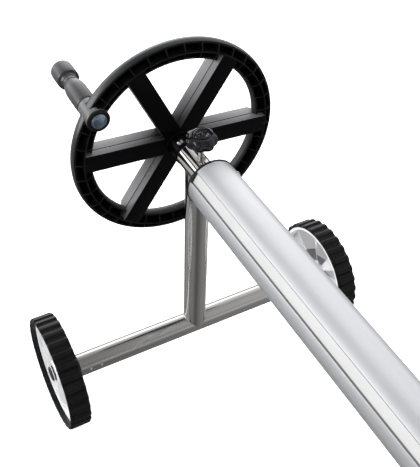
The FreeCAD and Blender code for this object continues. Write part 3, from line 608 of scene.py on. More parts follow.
def stand(pre, stand_x, side):
    """side points from the stand towards the middle of the reel, along X."""
    body = pre + "_stand"
    base_z = middle(pre + "_base_tube").z
    base = (stand_x, 0, base_z)
    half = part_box(pre + "_base_tube")[1].y / MM
    axle_z = joint_place(pre + "_near_roll")[2]

    inner = TUBE_R - TUBE_WALL
    rows = [(x, r, 0.35) for x, r in ((-half, inner), (-half, TUBE_R), (half, TUBE_R),
                                      (half, inner))]
    piece(pre + "_base_tube_v", turned(rows, 128), "steel_y", body, base, AXIS["y"],
          (pre + "_base_tube",))
    foot_weld = weld_ring(1, "y")
    top_weld = moved(weld_ring(-1, "x"), Matrix.Translation((0, 0, (REEL.z - base_z) / MM)))
    piece(pre + "_weld_v", join([foot_weld, top_weld]), "weld", body, (stand_x, REEL.y, base_z),
          None, (pre + "_weld_beads",), sharp=60)

    def axle_material(polygon, mesh):
        c = polygon.center
        # painted highlight: the outer ring of the axle's black head takes the white hub material as
        # a light ring
        edge = abs(c.y) > 0.268 and math.hypot(c.x - stand_x, c.z - axle_z) > 0.0130
        return "hub_rim" if edge else "axle"

    for end, tag in ((-1, "near"), (1, "far")):
        outward = AXIS["y" if end > 0 else "-y"]

        def replaced(node):
            """Each CAD node holds both ends; the near piece stands in for it."""
            return (pre + node,) if end < 0 else ()

        piece("%s_plug_%s_v" % (pre, tag), end_plug(half), "black", body, base, outward,
              replaced("_base_plugs"))
        piece("%s_rivets_%s_v" % (pre, tag), rivets(half, end, side), "rivet", body, base, None,
              replaced("_plug_rivets"), sharp=50)
        piece("%s_axle_%s_v" % (pre, tag), turned(AXLE, 64, closed=False), ("axle", "hub_rim"),
              body, (stand_x, 0, axle_z), outward, replaced("_axle_bolts"),
              sharp=50, pick=axle_material)
        caster(pre, tag, end)


# ============================================================ casters
TYRE_R = 96.6          # to the top of the lugs
LUG_MEAN, LUG_HALF = 94.6, 2.0
LUGS = 30
BEAD_R, BEAD_X = 90.0, 16.0    # inner edges of the tyre
# tyre from the outer face round to the inner one: (axial, drop below the lugs, lug relief 0..1)
TREAD = [(16.7, 6.5, 0), (17.4, 5.9, 0), (17.5, 3.2, 0.3), (17.3, 1.6, 0.8), (16.5, 0.55, 1),
         (15.3, 0.1, 1), (13.5, 0.0, 1), (9, 0, 1), (3, 0, 1), (-3, 0, 1), (-9, 0, 1),
         (-13.5, 0.0, 1), (-15.3, 0.1, 1), (-16.5, 0.55, 1), (-17.3, 1.6, 0.8),
         (-17.5, 3.2, 0.3), (-17.4, 5.9, 0), (-16.7, 6.5, 0)]
HUB_RIM = [(-16.5, 89.95, 0.6), (-16.5, 84.7, 1.2), (-6.0, 83.5, 0.2), (8.5, 83.1, 1.2),
           (8.5, 89.95, 0.6)]
HUB_BOSS = [(-16.5, 10.55, 0.3), (-16.5, 19.0, 0.8), (-14.5, 20.5, 1), (7.5, 21.0, 1),
            (9.4, 19.4, 0.8), (10.0, 18.0, 0.4), (10.0, 10.55, 0.3)]
# (radius, pleat depth) out along the star disc
PLEATS = [(19.5, 0.0), (30.0, 3.0), (45.0, 5.0), (60.0, 6.5), (73.0, 7.6), (84.1, 8.0)]
STAR_POINTS = 8


def lug_radius(a):
    """Tread radius at angle a: flat-topped rounded lugs, one at the very bottom."""
    wave = math.tanh(2.1 * (-math.cos(LUGS * a) + 0.12)) / math.tanh(2.1)
    return LUG_MEAN + LUG_HALF * min(1.0, max(-1.0, wave))


def tyre():
    verts = []
    rings = 720
    for j in range(rings):
        a = 2 * math.pi * j / rings
        c, s = math.cos(a), math.sin(a)
        lug = lug_radius(a)
        for x, drop, relief in TREAD:
            r = (lug * relief + TYRE_R * (1 - relief)) - drop
            verts.append((x, r * c, r * s))
        verts.append((-BEAD_X, BEAD_R * c, BEAD_R * s))
        verts.append((BEAD_X, BEAD_R * c, BEAD_R * s))
    return verts, ring_faces(rings, len(TREAD) + 2)


def star_face(outer):
    """One face of the pleated disc: shallow pleats on the outer face, a deep star inside."""
    verts = []
    around = STAR_POINTS * 2
    for r, depth in PLEATS:
        for j in range(around):
            a = math.pi * j / STAR_POINTS
            ridge = j % 2 == 0
            if outer:
                x = 6.2 - (0 if ridge else depth * 0.42)
            else:
                x = -1.0 - depth * 1.6 if ridge else 0.0
            verts.append((x, r * math.cos(a), r * math.sin(a)))
    return verts, stack_faces(len(PLEATS), around)


def caster(pre, tag, end):
    """end is +1 on the +Y side. Local +X points outwards."""
    name = "%s_%s" % (pre, tag)
    body = name + "_caster"
    rot = AXIS["y" if end > 0 else "-y"]
    at = tuple(joint_place(name + "_roll"))
    piece(name + "_tyre_v", tyre(), "rubber", body, at, rot, (name + "_tyre",),
          sharp=55)

    def hub_material(polygon, mesh):
        dx, dz = polygon.center.x - at[0], polygon.center.z - at[2]
        radius = math.hypot(dx, dz)
        inner = (polygon.center.y - at[1]) * end < 0.0035
        normal = polygon.normal
        turn = (-normal.x * dz + normal.z * dx) / max(radius, 1e-6)
        if radius > 0.0835:
            return "hub_rim"
        # painted shade: one flank of each pleat gets a darker silver, darkest near the boss
        if inner and 0.022 < radius and turn > 0.15:     # shaded flank of each pleat
            return "hub_dark" if radius < 0.05 else "hub_mid"
        return "hub"

    hub = join([turned(HUB_RIM, 192), turned(HUB_BOSS), star_face(True), star_face(False)])
    piece(name + "_hub_v", hub, ("hub", "hub_rim", "hub_mid", "hub_dark"), body, at, rot,
          (name + "_hub",), sharp=8, pick=hub_material)


stand("drive", REEL.x, 1)
stand("idler", IDLE.x, -1)

# ============================================================ handwheel
WHEEL_X = -75.5        # plane of the rim, from the drive upright
RIM_TUBE = 15.7        # radius of the rim's section
RIM_SKIN = 2.6
RIM_SLOT = 7.5         # the open side's lips lie this far towards +X of the plane
RIB_HALF = 0.8
RIBS = 36
SPOKES = 6
NEAR = WHEEL_X + 14.8  # +X face of the spokes
FAR = WHEEL_X - 20.0   # -X face of the spokes
LINE = WHEEL_X + 1.6   # mould line
HALF_W = 15.25         # half width of a spoke at the mould line


def rim():
    inside = RIM_TUBE - RIM_SKIN
    outer_gap = math.degrees(math.acos(RIM_SLOT / RIM_TUBE))
    inner_gap = math.degrees(math.acos(RIM_SLOT / inside))
    profile = arc(WHEEL_X, RIM_R, RIM_TUBE, outer_gap, 360 - outer_gap, 44)
    profile += arc(WHEEL_X, RIM_R, inside, 360 - inner_gap, inner_gap, 34)
    return lathe(profile, 432)


def ring_rib():
    """Rib running round inside the rim's channel."""
    top = WHEEL_X + RIM_TUBE
    profile = [(WHEEL_X - 12.0, RIM_R - RIB_HALF), (top - 0.45, RIM_R - RIB_HALF),
               (top - 0.05, RIM_R - 0.35), (top - 0.05, RIM_R + 0.35),
               (top - 0.45, RIM_R + RIB_HALF), (WHEEL_X - 12.0, RIM_R + RIB_HALF)]
    return lathe(profile, 432)


def radial_rib(angle):
    """A disc across the rim's section, with softened edges."""
    verts = []
    levels = ((-RIB_HALF, RIM_TUBE - 0.75), (-0.42, RIM_TUBE - 0.25), (0.42, RIM_TUBE - 0.25),
              (RIB_HALF, RIM_TUBE - 0.75))
    sides = 40
    for z, r in levels:
        for k in range(sides):
            b = 2 * math.pi * k / sides
            verts.append((WHEEL_X + r * math.cos(b), RIM_R + r * math.sin(b), z))
    return moved((verts, stack_faces(len(levels), sides, caps=True)), rot_x(angle))


# (axial, half width) of a spoke, drafted both ways from a groove at the mould line
SPOKE = [(NEAR, HALF_W - 1.5), (NEAR - 0.12, HALF_W - 1.05), (NEAR - 0.45, HALF_W - 0.75),
         (NEAR - 1.0, HALF_W - 0.62), (LINE + 1.2, HALF_W - 0.05), (LINE + 0.8, HALF_W - 0.12),
         (LINE + 0.6, HALF_W - 1.1), (LINE - 0.6, HALF_W - 1.1), (LINE - 0.8, HALF_W - 0.12),
         (LINE - 1.2, HALF_W - 0.05), (FAR + 3.0, HALF_W - 0.75), (FAR + 1.2, HALF_W - 1.2),
         (FAR + 0.3, HALF_W - 2.1), (FAR, HALF_W - 3.2)]


def star():
    """The spokes as one body with mitred roots, four points to a spoke on each level."""
    verts = []
    reach = RIM_R - 0.2
    around = 4 * SPOKES
    for x, half in SPOKE:
        for k in range(SPOKES):
            a = math.radians(60 * k)
            out = Vector((0, math.cos(a), math.sin(a)))
            across = Vector((0, -math.sin(a), math.cos(a)))
            root = 2 * half * math.cos(math.radians(30))      # mitre point, along the spoke
            tip = reach - 15.0 if x < WHEEL_X - 8 else reach
            for p in (out * root - across * half, out * tip - across * half,
                      out * tip + across * half, out * root + across * half):
                verts.append((x, p.y, p.z))
    faces = stack_faces(len(SPOKE), around)
    for level in (0, len(SPOKE) - 1):
        corners = [level * around + 4 * k for k in range(SPOKES)]
        faces.extend((b, b + 1, b + 2, b + 3) for b in corners)
        faces.append(tuple(corners))
    return verts, faces


def wheel_hub():
    """Sleeve on the +X side and ringed cover on the -X side."""
    sleeve = [(NEAR - 4, 20.9, 0), (NEAR - 0.05, 20.9, 0.8), (NEAR + 0.5, 20.4, 1.2),
              (NEAR + 1.4, 20.1, 2.0), (-33.0, 20.0, 0.6), (-31.5, 18.6, 0.6),
              (-31.5, 10.1, 0.3), (NEAR - 4, 10.1, 0)]
    far = WHEEL_X - 19.0
    cover = [(far + 6, 0, 0), (far - 0.6, 0, 0), (far - 0.6, 8.0, 0.8), (far + 1.2, 9.0, 0.8),
             (far + 1.2, 22.0, 1.2), (far - 0.9, 24.0, 0.8), (far - 0.9, 27.5, 1.0),
             (far + 1.2, 29.0, 1.0), (far + 6, 29.0, 0)]
    return join([turned(sleeve, steps=4), turned(cover, steps=4, closed=False)])


def crank_boss():
    """Boss through the rim that carries the crank spindle."""
    rows = [(-57.6, 5.0, 0.3), (-57.6, 16.9, 0.8), (-59.5, 17.4, 1.5), (-66, 17.3, 3),
            (-76, 17.0, 4), (-84.0, 16.7, 4), (-93.5, 16.0, 1.2), (-95.5, 15.4, 0.8),
            (-95.5, 5.0, 0.2)]
    boss = moved(turned(rows, steps=5), Matrix.Translation((0, RIM_R, 0)))
    return moved(boss, rot_x(math.pi / 2))


def wheel_material(polygon, mesh):
    c, normal = polygon.center, polygon.normal
    x, y, z = (c.x - REEL.x) / MM, c.y - REEL.y, c.z - REEL.z
    radius = math.hypot(y, z) / MM
    from_rim = math.hypot(x - WHEEL_X, radius - RIM_R)      # from the rim's centre line
    radial = (normal.y * y + normal.z * z) / max(1e-9, radius * MM)
    # how squarely the face looks away from the rim's centre line
    outward = (((x - WHEEL_X) * normal.x + (radius - RIM_R) * radial) / max(from_rim, 1e-6))
    from_crank = math.hypot(y - (CRANK.y - REEL.y), z - (CRANK.z - REEL.z)) / MM
    # painted sheen on the crank boss
    if 14 < from_crank < 18.2 and abs(normal.x) < 0.9 and x < -57 and from_rim > RIM_TUBE + 0.05:
        return "wheel_boss_painted_sheen"
    if x < -57 and from_crank < 17.6 and from_rim > RIM_TUBE - 0.2 and x < WHEEL_X - RIM_TUBE:
        return "wheel_boss_painted_sheen"
    # painted sheen on the rim's outer skin, painted light on its inner skin
    if abs(from_rim - RIM_TUBE) < 0.35 and outward > 0.8 and x < WHEEL_X + 8:
        return "wheel_in" if radius < RIM_R - 0.45 * RIM_TUBE else "wheel_skin_painted_sheen"
    # painted shade on the hub recess and the front faces
    if radius < 21.4 and x > WHEEL_X + 10:
        return "wheel_face_painted_shade"
    if normal.x > 0.9 and x > WHEEL_X + 13 and radius < RIM_R:
        return "wheel_face_painted_shade"
    # painted sheen on the spoke walls, painted lighter on the far half
    if (abs(normal.x) < 0.35 and 21.5 < radius < RIM_R - RIM_TUBE + 2.5
            and -20 < x - WHEEL_X < 15 and abs(x - WHEEL_X - 1.6) > 0.85):
        return "wheel_side" if x > LINE else "wheel_far"
    return "wheel"


def handwheel():
    parts = [rim(), ring_rib()]
    parts += [radial_rib(math.radians(10 * k)) for k in range(RIBS)]
    parts += [star(), wheel_hub(), crank_boss()]
    mats = ("wheel", "wheel_face_painted_shade", "wheel_skin_painted_sheen", "wheel_side", "wheel_far", "wheel_boss_painted_sheen",
            "wheel_in")
    piece("handwheel_v", join(parts), mats, "reel_drive", REEL,
          rot_x(CRANK_ANGLE - math.pi / 2), ("handwheel",), sharp=28,
          merge=0.001, pick=wheel_material)


handwheel()


# ============================================================ crank
SPINDLE_R = 5.0
SPINDLE_SEAT = -56.0
HEAD_R = 12.0
GRIP_END = -203.1      # axial place of the grip's -X end


def crank_ring():
    """Seat ring under the spindle's head."""
    rows = [(-57.5, 5.0, 0.2), (-56.0, 5.0, 0.1), (-56.0, 12.3, 0.5), (-55.0, 12.7, 0.6),
            (-54.1, 13.4, 0.8), (-54.0, 14.8, 0.8), (-54.6, 16.6, 0.8), (-56.0, 17.4, 0.8),
            (-57.5, 17.4, 0.3)]
    piece("crank_ring_v", turned(rows, steps=4), "black", "reel_drive", CRANK, None,
          ("crank_washer",), sharp=50)


def crank_spindle():
    """Rod along the grip with a domed head at +X."""
    profile = [(-188.0, 0.0), (-188.0, 4.4), (-187.4, SPINDLE_R), (SPINDLE_SEAT, SPINDLE_R),
               (SPINDLE_SEAT, HEAD_R), (-54.8, HEAD_R)]
    quarter = [math.pi / 2 * k / 14 for k in range(1, 15)]
    profile += [(-54.8 + 4.3 * math.sin(t), HEAD_R * math.cos(t)) for t in quarter]
    piece("crank_spindle_v", lathe(profile, 72, closed=False), "blue", "reel_drive", CRANK,
          None, ("crank_spindle",), sharp=50)


def grip():
    rows = [(-178.5, 11.0, 0.3), (GRIP_END, 11.0, 0.3), (GRIP_END, 15.9, 1.0),
            (-201.2, 17.0, 2), (-195, 17.35, 4), (-184.0, 17.45, 4), (-174.5, 17.3, 0.7),
            (-171.2, 16.9, 0.7), (-170.3, 15.2, 1.2), (-169.6, 13.4, 2.0), (-165.0, 12.25, 2.5),
            (-158.0, 12.6, 3), (-152.5, 14.0, 4), (-146.0, 15.4, 6), (-137.0, 16.15, 8),
            (-126.0, 16.3, 8), (-100.5, 16.3, 3), (-97.2, 15.9, 1.0), (-96.0, 15.1, 0.6),
            (-96.0, 5.05, 0.3), (-178.5, 5.05, 0.2)]
    verts, faces = turned(rows, 120, steps=4)
    # three broad finger flats, fading out towards both ends
    pressed = []
    for x, y, z in verts:
        r = math.hypot(y, z)
        if r > 11.5:
            a = math.atan2(z, y)
            fade = clamp01((-99 - x) / 10.0) * clamp01((x + 158) / 8.0)
            depth = 0.45 * fade * (0.5 + 0.5 * math.cos(3 * a - 1.0)) ** 2
            y, z = y * (r - depth) / r, z * (r - depth) / r
        pressed.append((x, y, z))
    piece("grip_body_v", (pressed, faces), "grip", "crank_grip", CRANK, None, ("grip_body",),
          sharp=50)


def grip_end():
    rows = [(GRIP_END, 11.0, 0), (-203.15, 15.7, 0.3), (-204.5, 14.8, 1), (-205.3, 13.0, 1),
            (-205.6, 10.5, 1), (-205.2, 6.0, 2), (-205.0, 0.0, 0)]
    piece("grip_end_v", turned(rows, steps=4, closed=False), "grip", "crank_grip", CRANK, None,
          ("grip_end_cap",), sharp=60)


crank_ring()
crank_spindle()
grip()
grip_end()

# ============================================================ brake knob
# The knob's parts are turned about the vertical stud, from the reel's axis upwards.
STUD = Vector((middle("brake_stud").x, REEL.y, REEL.z))
LOBES = 7
# from the centre of the top round to the underside: (height, radius, depth between lobes)
KNOB = [(63.5, 12.0, 0), (63.7, 13.4, 0), (63.6, 15.4, 0.1), (63.0, 17.8, 0.5),
        (61.8, 20.2, 1.3), (59.8, 22.3, 2.3), (57.0, 23.6, 3.1), (53.6, 24.0, 3.5),
        (50.2, 23.5, 3.4), (47.2, 21.8, 2.8), (45.2, 19.0, 1.9), (44.0, 15.8, 0.9),
        (43.2, 12.8, 0.3), (42.4, 10.4, 0), (41.4, 9.0, 0)]
# the same columns, for the collar's end and the bore
KNOB_BORE = [(41.1, 8.7, 0), (41.1, 4.2, 0), (52, 4.2, 0), (62, 12.0, 0)]
# (height, radius): a dished cap with a button in the middle
CAP = [(62.1, 11.9), (63.9, 11.9), (65.0, 11.2), (65.3, 10.2), (64.9, 9.0), (63.7, 7.8),
       (63.2, 6.8), (63.4, 5.8), (64.6, 4.9), (65.4, 3.9), (65.5, 2.4), (65.2, 1.2), (65.1, 0)]


def smooth_rows(rows, steps):
    """Catmull-Rom through the rows, with steps between each two."""
    out = []
    for i in range(len(rows) - 1):
        around = (rows[max(0, i - 1)], rows[i], rows[i + 1], rows[min(len(rows) - 1, i + 2)])
        for j in range(steps):
            t = j / steps
            out.append(tuple(
                0.5 * (2 * q + (r - p) * t + (2 * p - 5 * q + 4 * r - w) * t * t
                       + (3 * q - p - 3 * r + w) * t ** 3)
                for p, q, r, w in zip(*around)))
    out.append(rows[-1])
    return out


def knob():
    rows = smooth_rows(KNOB, 4) + KNOB_BORE
    rings = LOBES * 28
    verts = []
    for j in range(rings):
        a = 2 * math.pi * j / rings + 0.35
        hollow = (0.5 + 0.5 * math.cos(LOBES * a)) ** 1.5
        for z, r, depth in rows:
            rr = r - depth * hollow
            t = clamp01((z - 52) / 9.0)       # the hollows also dip the upper face
            verts.append((z - 0.3 * depth * hollow * t * t * (3 - 2 * t),
                          rr * math.cos(a), rr * math.sin(a)))
    return verts, ring_faces(rings, len(rows))


def screw_thread(radius, start, end, pitch, depth=0.45, sides=40):
    """A helical V thread as stacked turns, six levels to a pitch."""
    verts = []
    levels = int((end - start) / pitch * 6)
    for i in range(levels + 1):
        x = start + (end - start) * i / levels
        for j in range(sides):
            a = 2 * math.pi * j / sides
            phase = (x / pitch - a / (2 * math.pi)) % 1.0
            r = radius - depth * abs(2 * phase - 1)
            verts.append((x, r * math.cos(a), r * math.sin(a)))
    return verts, stack_faces(levels + 1, sides, caps=True)


piece("brake_knob_v", knob(), "knob", "brake_knob", STUD, AXIS["z"], ("brake_knob",),
      sharp=45)
piece("brake_cap_v", turned([(z, r, 0.6) for z, r in CAP], steps=4, closed=False), "knob",
      "brake_knob", STUD, AXIS["z"], ("brake_knob_cap",), sharp=60)
piece("brake_stud_v", screw_thread(radius=4.0, start=17.2, end=46.0, pitch=1.5), "zinc",
      "brake_knob", STUD, AXIS["z"], ("brake_stud",), sharp=60)


# ============================================================ reel tubes
# Sections are (y, z) loops with the flattened strip facing local +Z.
def flattened_arc(radius, flat_z, steps):
    """A circle cut by a flat at flat_z, from the flat's -Y end round to its +Y end."""
    half = math.sqrt(radius * radius - flat_z * flat_z)
    angle = math.degrees(math.atan2(flat_z, half))
    return arc(0, 0, radius, 180 - angle, 360 + angle, steps)


def outer_section():
    """Outer and inner loops of the outer tube, with a sunk strip between a seam and a groove."""
    r, seam_y, groove_y = 38.0, 7.58, -9.55
    start = math.degrees(math.atan2(math.sqrt(r * r - groove_y ** 2), groove_y))
    end = math.degrees(math.atan2(math.sqrt(r * r - seam_y * seam_y), seam_y))
    strip = [(7.35, 37.28), (7.28, 36.3), (6.72, 36.25), (6.66, 37.06), (0.5, 36.25),
             (-6.6, 35.18), (-7.3, 34.98), (-7.5, 34.6), (-7.55, 34.15), (-9.35, 34.15),
             (-9.5, 34.5), (-9.6, 36.2)]
    return (arc(0, 0, r, start + 0.5, 360 + end - 0.4, 150) + strip,
            flattened_arc(36.0, 33.0, 120))


def inner_section():
    """Outer and inner loops of the inner tube: a flat with a narrow slot along its middle."""
    r, flat_z = 34.6, 31.9
    half = math.sqrt(r * r - flat_z * flat_z)
    strip = [(half - 1.2, flat_z), (1.9, flat_z), (1.65, flat_z - 0.3), (1.65, flat_z - 2.1),
             (-1.65, flat_z - 2.1), (-1.65, flat_z - 0.3), (-1.9, flat_z), (1.2 - half, flat_z)]
    return flattened_arc(r, flat_z, 140) + strip, flattened_arc(32.6, 28.3, 110)


def reel_tube(node, mats, body, at, section, pick=None):
    low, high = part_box(node)
    x0, x1 = (low.x - at.x) / MM, (high.x - at.x) / MM
    outer, inner = section
    n, m = len(outer), len(inner)
    # (axial, inset): the ends have a small chamfer
    stations = [(x0, 0.5), (x0 + 0.5, 0.0)]
    stations += [(x0 + (x1 - x0) * k / 12, 0) for k in range(1, 12)]
    stations += [(x1 - 0.5, 0), (x1, 0.5)]
    verts = []
    for x, inset in stations:
        for y, z in outer:
            d = math.hypot(y, z)
            verts.append((x, y * (d - inset) / d, z * (d - inset) / d))
    faces = stack_faces(len(stations), n)
    bore = len(verts)
    verts += [(x, y, z) for x in (x0, x1) for y, z in inner]
    for k in range(m):
        k2 = (k + 1) % m
        faces.append((bore + k, bore + m + k, bore + m + k2, bore + k2))

    def close_ends(bm):
        bm.verts.ensure_lookup_table()
        for outer_start, inner_start in ((0, bore), ((len(stations) - 1) * n, bore + m)):
            edges = []
            for first, count in ((outer_start, n), (inner_start, m)):
                for k in range(count):
                    pair = (bm.verts[first + k], bm.verts[first + (k + 1) % count])
                    edges.append(bm.edges.get(pair))
            bmesh.ops.bridge_loops(bm, edges=edges)

    piece(node + "_v", (verts, faces), mats, body, at, rot_x(STRIP_ANGLE), (node,),
          sharp=24, extra=close_ends, pick=pick)


def strip_material(polygon, mesh):
    total = Vector((0, 0, 0))
    for i in polygon.vertices:
        total += mesh.vertices[i].co
    c = rot_x(-STRIP_ANGLE) @ ((total / len(polygon.vertices)) - REEL)
    y, z = c.y / MM, c.z / MM
    # painted shade in the groove beside the sunk strip
    if z > 33.6 and -9.58 < y < -7.2 and z < 36.4:
        return "ano_dark"
    if 6.6 < y < 7.37 and 36.0 < z < 37.26:
        return "ano_seam"
    if z > 34.9 and -7.3 < y < 6.62 and math.hypot(y, z) < 37.9:
        return "ano_pale"
    return "ano"


def tube_plug(pre, at, inward, body):
    """Flanged plug in the end of a reel tube; local +X points into the tube."""
    node = pre + "_tube_plug"
    flange = (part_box(node)[1].z - at.z) / MM
    rows = [(37.5, 10.05, 0.3), (37.5, 13.4, 0.5), (38.2, 14.0, 0.4), (39.9, 14.2, 1.0),
            (40.1, flange - 1.4, 0.8), (40.9, flange - 0.3, 0.5), (42.3, flange - 0.3, 0.3),
            (42.95, flange - 1.0, 0.2), (42.95, 30.0, 0.2), (80, 30.0, 0.5), (80, 10.05, 0.2)]
    piece(node + "_v", turned(rows, 144, steps=4), "black", body, at, AXIS[inward], (node,),
          sharp=50)


def plug_lip():
    """Small lip on the drive plug's flange that fills the step above the sunk strip."""
    r = 39.35
    start, end = math.asin(7.4 / r), math.asin(-9.5 / r)
    angles = [start + (end - start) * k / 16 for k in range(17)]
    loop = [(r * math.sin(t), r * math.cos(t)) for t in angles]
    loop += [(-9.5, 36.9), (-6.2, 35.25), (0.5, 36.35), (6.6, 37.2), (7.4, 37.5)]
    verts = []
    # (axial, drop of the top edge)
    stations = ((42.7, 0.0), (46.0, 0.0), (46.4, 0.3))
    for x, drop in stations:
        for y, z in loop:
            verts.append((x, y, z - (drop if z > 38 else 0.0)))
    piece("drive_plug_lip_v", (verts, stack_faces(len(stations), len(loop), caps=True)),
          "black", "reel_drive", REEL, rot_x(STRIP_ANGLE), (), sharp=35)


reel_tube("outer_tube", ("ano", "ano_pale", "ano_dark", "ano_seam"), "reel_drive", REEL,
          outer_section(), pick=strip_material)
reel_tube("inner_tube", "ano", "reel_idler", IDLE, inner_section())
tube_plug("drive", REEL, "x", "reel_drive")
tube_plug("idler", IDLE, "-x", "reel_idler")
plug_lip()


# ============================================================ materials of the CAD pieces
def paint(ob, key):
    ob.data.materials.clear()
    ob.data.materials.append(M[key])


def cad_material(node):
    if node == "brake_pad":
        return "nylon"
    if node in ("tube_collar", "idler_shaft_cap"):
        return "black"
    for endings, key in (
            (("_bushes",), "nylon_black"),
            (("_upright",), "steel_z"),
            (("_bearing_sleeve",), "steel_x"),
            (("_screws", "_nut", "_nuts", "_pin", "hub_bolt", "_shaft", "stud_boss",
              "shaft_collar"), "zinc")):
        if node.endswith(endings):
            return key
    return None


for node, ob in NODES.items():
    key = cad_material(node)
    if key:
        paint(ob, key)
# anything still without one of these materials is zinc
known = {material.name for material in M.values()}
for ob in NODES.values():
    slots = ob.data.materials
    if not slots or slots[0] is None or slots[0].name.split(".")[0] not in known:
        paint(ob, "zinc")

# ============================================================ surroundings
# Grey levels of the reflected studio, against one component of the direction (-1..1).
BY_X = [(-1.0, 0.86), (-0.89, 0.82), (-0.81, 0.42), (-0.72, 0.27), (-0.62, 0.19),
        (-0.45, 0.170), (-0.34, 0.155), (-0.22, 0.105), (0.2, 0.105), (0.63, 0.115),
        (0.86, 0.09), (1.0, 0.08)]
BY_Z = [(-1.0, 0.52), (-0.70, 0.52), (-0.35, 0.50), (-0.16, 0.48), (-0.04, 0.62), (0.06, 1.0),
        (1.0, 1.0)]
BY_Y = [(-1.0, 0.72), (-0.66, 0.78), (-0.46, 0.62), (-0.30, 0.34), (-0.08, 0.34), (0.12, 0.52),
        (0.34, 0.68), (0.62, 0.86), (1.0, 0.86)]
HORIZON = [(-1.0, 0.0), (-0.45, 0.006), (-0.16, 0.040), (0.02, 0.060), (0.12, 0.058),
           (0.30, 0.01), (1.0, 0.0)]      # against Z, added where BY_X is dark
Y_GAIN = 1.55
STUDIO_GAIN = 3.2
SOFTBOX_WAY = Vector((-0.42, -0.88, 0.22)).normalized()
TINT = (1.0, 0.995, 1.0)


def studio(g, direction):
    """What a polished surface meets in a direction: a pale backdrop towards -X, dim elsewhere
    and darker below, with one soft bright patch."""
    way = g.axes(direction)
    side = g.grey_ramp(way["X"], BY_X)
    tall = g.grey_ramp(way["Z"], BY_Z)
    turn = g.grey_ramp(way["Y"], BY_Y)
    band = g.grey_ramp(way["Z"], HORIZON)
    backdrop = g.mul(g.mul(side, tall), g.mul(turn, Y_GAIN))
    light = g.mul(g.add(backdrop, g.mul(band, g.sub(1.0, side))), STUDIO_GAIN)
    dot = g.vector("DOT_PRODUCT", direction, SOFTBOX_WAY).outputs["Value"]
    softbox = g.remap(dot, span=(0.90, 0.985), to=(0.0, 2.1), interpolation_type="SMOOTHSTEP")
    light = g.add(light, softbox)
    color = g.node("CombineColor")
    for i, share in enumerate(TINT):
        g.link(g.mul(light, share), color.inputs[i])
    return color.outputs[0]


def floor_material():
    """Pale matt floor, lifted for the camera; glossy rays meet the studio instead."""
    m = Material("floor_pale")

    def mixed(factor, a, b):
        node = m.node("MixShader")
        for socket, source in zip(node.inputs, (factor, a, b)):
            m.link(source, socket)
        return node.outputs[0]

    matt = m.node("BsdfDiffuse")
    mottle = m.noise(scale=30, detail=3, rough=0.5)
    m.link(m.mix(mottle, (0.90, 0.90, 0.90), (0.93, 0.93, 0.93)), matt.inputs["Color"])
    lift = m.node("Emission")
    lift.inputs[0].default_value = (1, 1, 1, 1)
    lift.inputs[1].default_value = 0.52
    lifted = m.node("AddShader")
    m.link(matt.outputs[0], lifted.inputs[0])
    m.link(lift.outputs[0], lifted.inputs[1])
    away = m.node("VectorMath", operation="SCALE")
    away.inputs["Scale"].default_value = -1.0
    m.link(m.node("NewGeometry").outputs["Incoming"], away.inputs[0])
    mirrored = m.node("Emission")
    m.link(studio(m, away.outputs[0]), mirrored.inputs[0])
    mirrored.inputs[1].default_value = 1.0
    rays = m.node("LightPath").outputs
    seen = mixed(rays["Is Camera Ray"], matt.outputs[0], lifted.outputs[0])
    m.link(mixed(rays["Is Glossy Ray"], seen, mirrored.outputs[0]), m.output.inputs[0])
    return m.material


def build_floor():
    half, z = 30.0, -0.0005
    mesh = bpy.data.meshes.new("floor")
    corners = [(-half, -half, z), (half, -half, z), (half, half, z), (-half, half, z)]
    mesh.from_pydata(corners, [], [(0, 1, 2, 3)])
    floor = bpy.data.objects.new("floor", mesh)
    bpy.context.scene.collection.objects.link(floor)
    mesh.materials.append(floor_material())


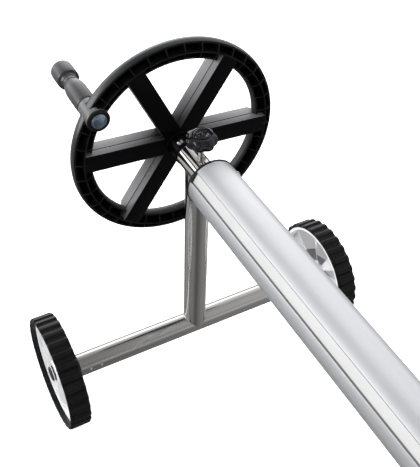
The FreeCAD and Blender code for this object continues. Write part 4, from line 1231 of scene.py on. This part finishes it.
def build_world():
    """White to the camera, the studio to everything else."""
    world = bpy.data.worlds.new("studio")
    bpy.context.scene.world = world
    world.use_nodes = True
    g = Graph(world.node_tree)
    output = g.node("OutputWorld")
    background = g.node("Background")
    direction = g.node("TexCoord").outputs["Generated"]
    camera_ray = g.node("LightPath").outputs["Is Camera Ray"]
    g.link(g.mix(camera_ray, studio(g, direction), (1, 1, 1)), background.inputs[0])
    background.inputs[1].default_value = 1.0
    g.link(background.outputs[0], output.inputs[0])


def area_light(name, location, target, width, height, power):
    """A rectangular light aimed at target, kept out of reflections."""
    light = bpy.data.lights.new(name, "AREA")
    light.energy = power
    light.shape = "RECTANGLE"
    light.size = width
    light.size_y = height
    ob = bpy.data.objects.new(name, light)
    ob.location = location
    aim = Vector(target) - Vector(location)
    ob.rotation_euler = aim.to_track_quat("-Z", "Y").to_euler()
    ob.visible_glossy = False
    bpy.context.scene.collection.objects.link(ob)


# the camera's own axes in the row frame
CAMERA_RIGHT = (0.47361342, 0.88030532, 0.02743844)
CAMERA_UP = (-0.61446999, 0.3079513, 0.72635571)
CAMERA_BACK = (0.6309651, -0.36087191, 0.68677108)
CAMERA_PLACE = Vector((0.8157, -0.4414, 1.0891))     # for a reel axis 0.349 above its origin
CAMERA_REEL_Z = 0.349


def build_camera():
    data = bpy.data.cameras.new("camera")
    camera = bpy.data.objects.new("camera", data)
    bpy.context.scene.collection.objects.link(camera)
    matrix = Matrix((CAMERA_RIGHT, CAMERA_UP, CAMERA_BACK)).transposed().to_4x4()
    matrix.translation = CAMERA_PLACE + Vector((REEL.x, REEL.y, REEL.z - CAMERA_REEL_Z))
    camera.matrix_world = matrix
    data.sensor_width = 36
    data.sensor_fit = "AUTO"
    data.lens = 61.742698
    data.clip_start = 0.02
    data.clip_end = 200
    bpy.context.scene.camera = camera


build_floor()
build_world()
area_light("key", location=(-1.9, 0.3, 3.0), target=(-0.9, 0, 0.3), width=2.6, height=2.6,
           power=100)
area_light("mid", location=(0.8, 0.3, 3.2), target=(0.6, 0, 0.3), width=2.6, height=2.6,
           power=60)
area_light("fill", location=(-0.8, -3.0, 1.9), target=(-0.6, 0, 0.3), width=2.2, height=2.0,
           power=55)
build_camera()
bpy.context.scene.view_settings.view_transform = "Standard"
bpy.context.scene.view_settings.look = "None"
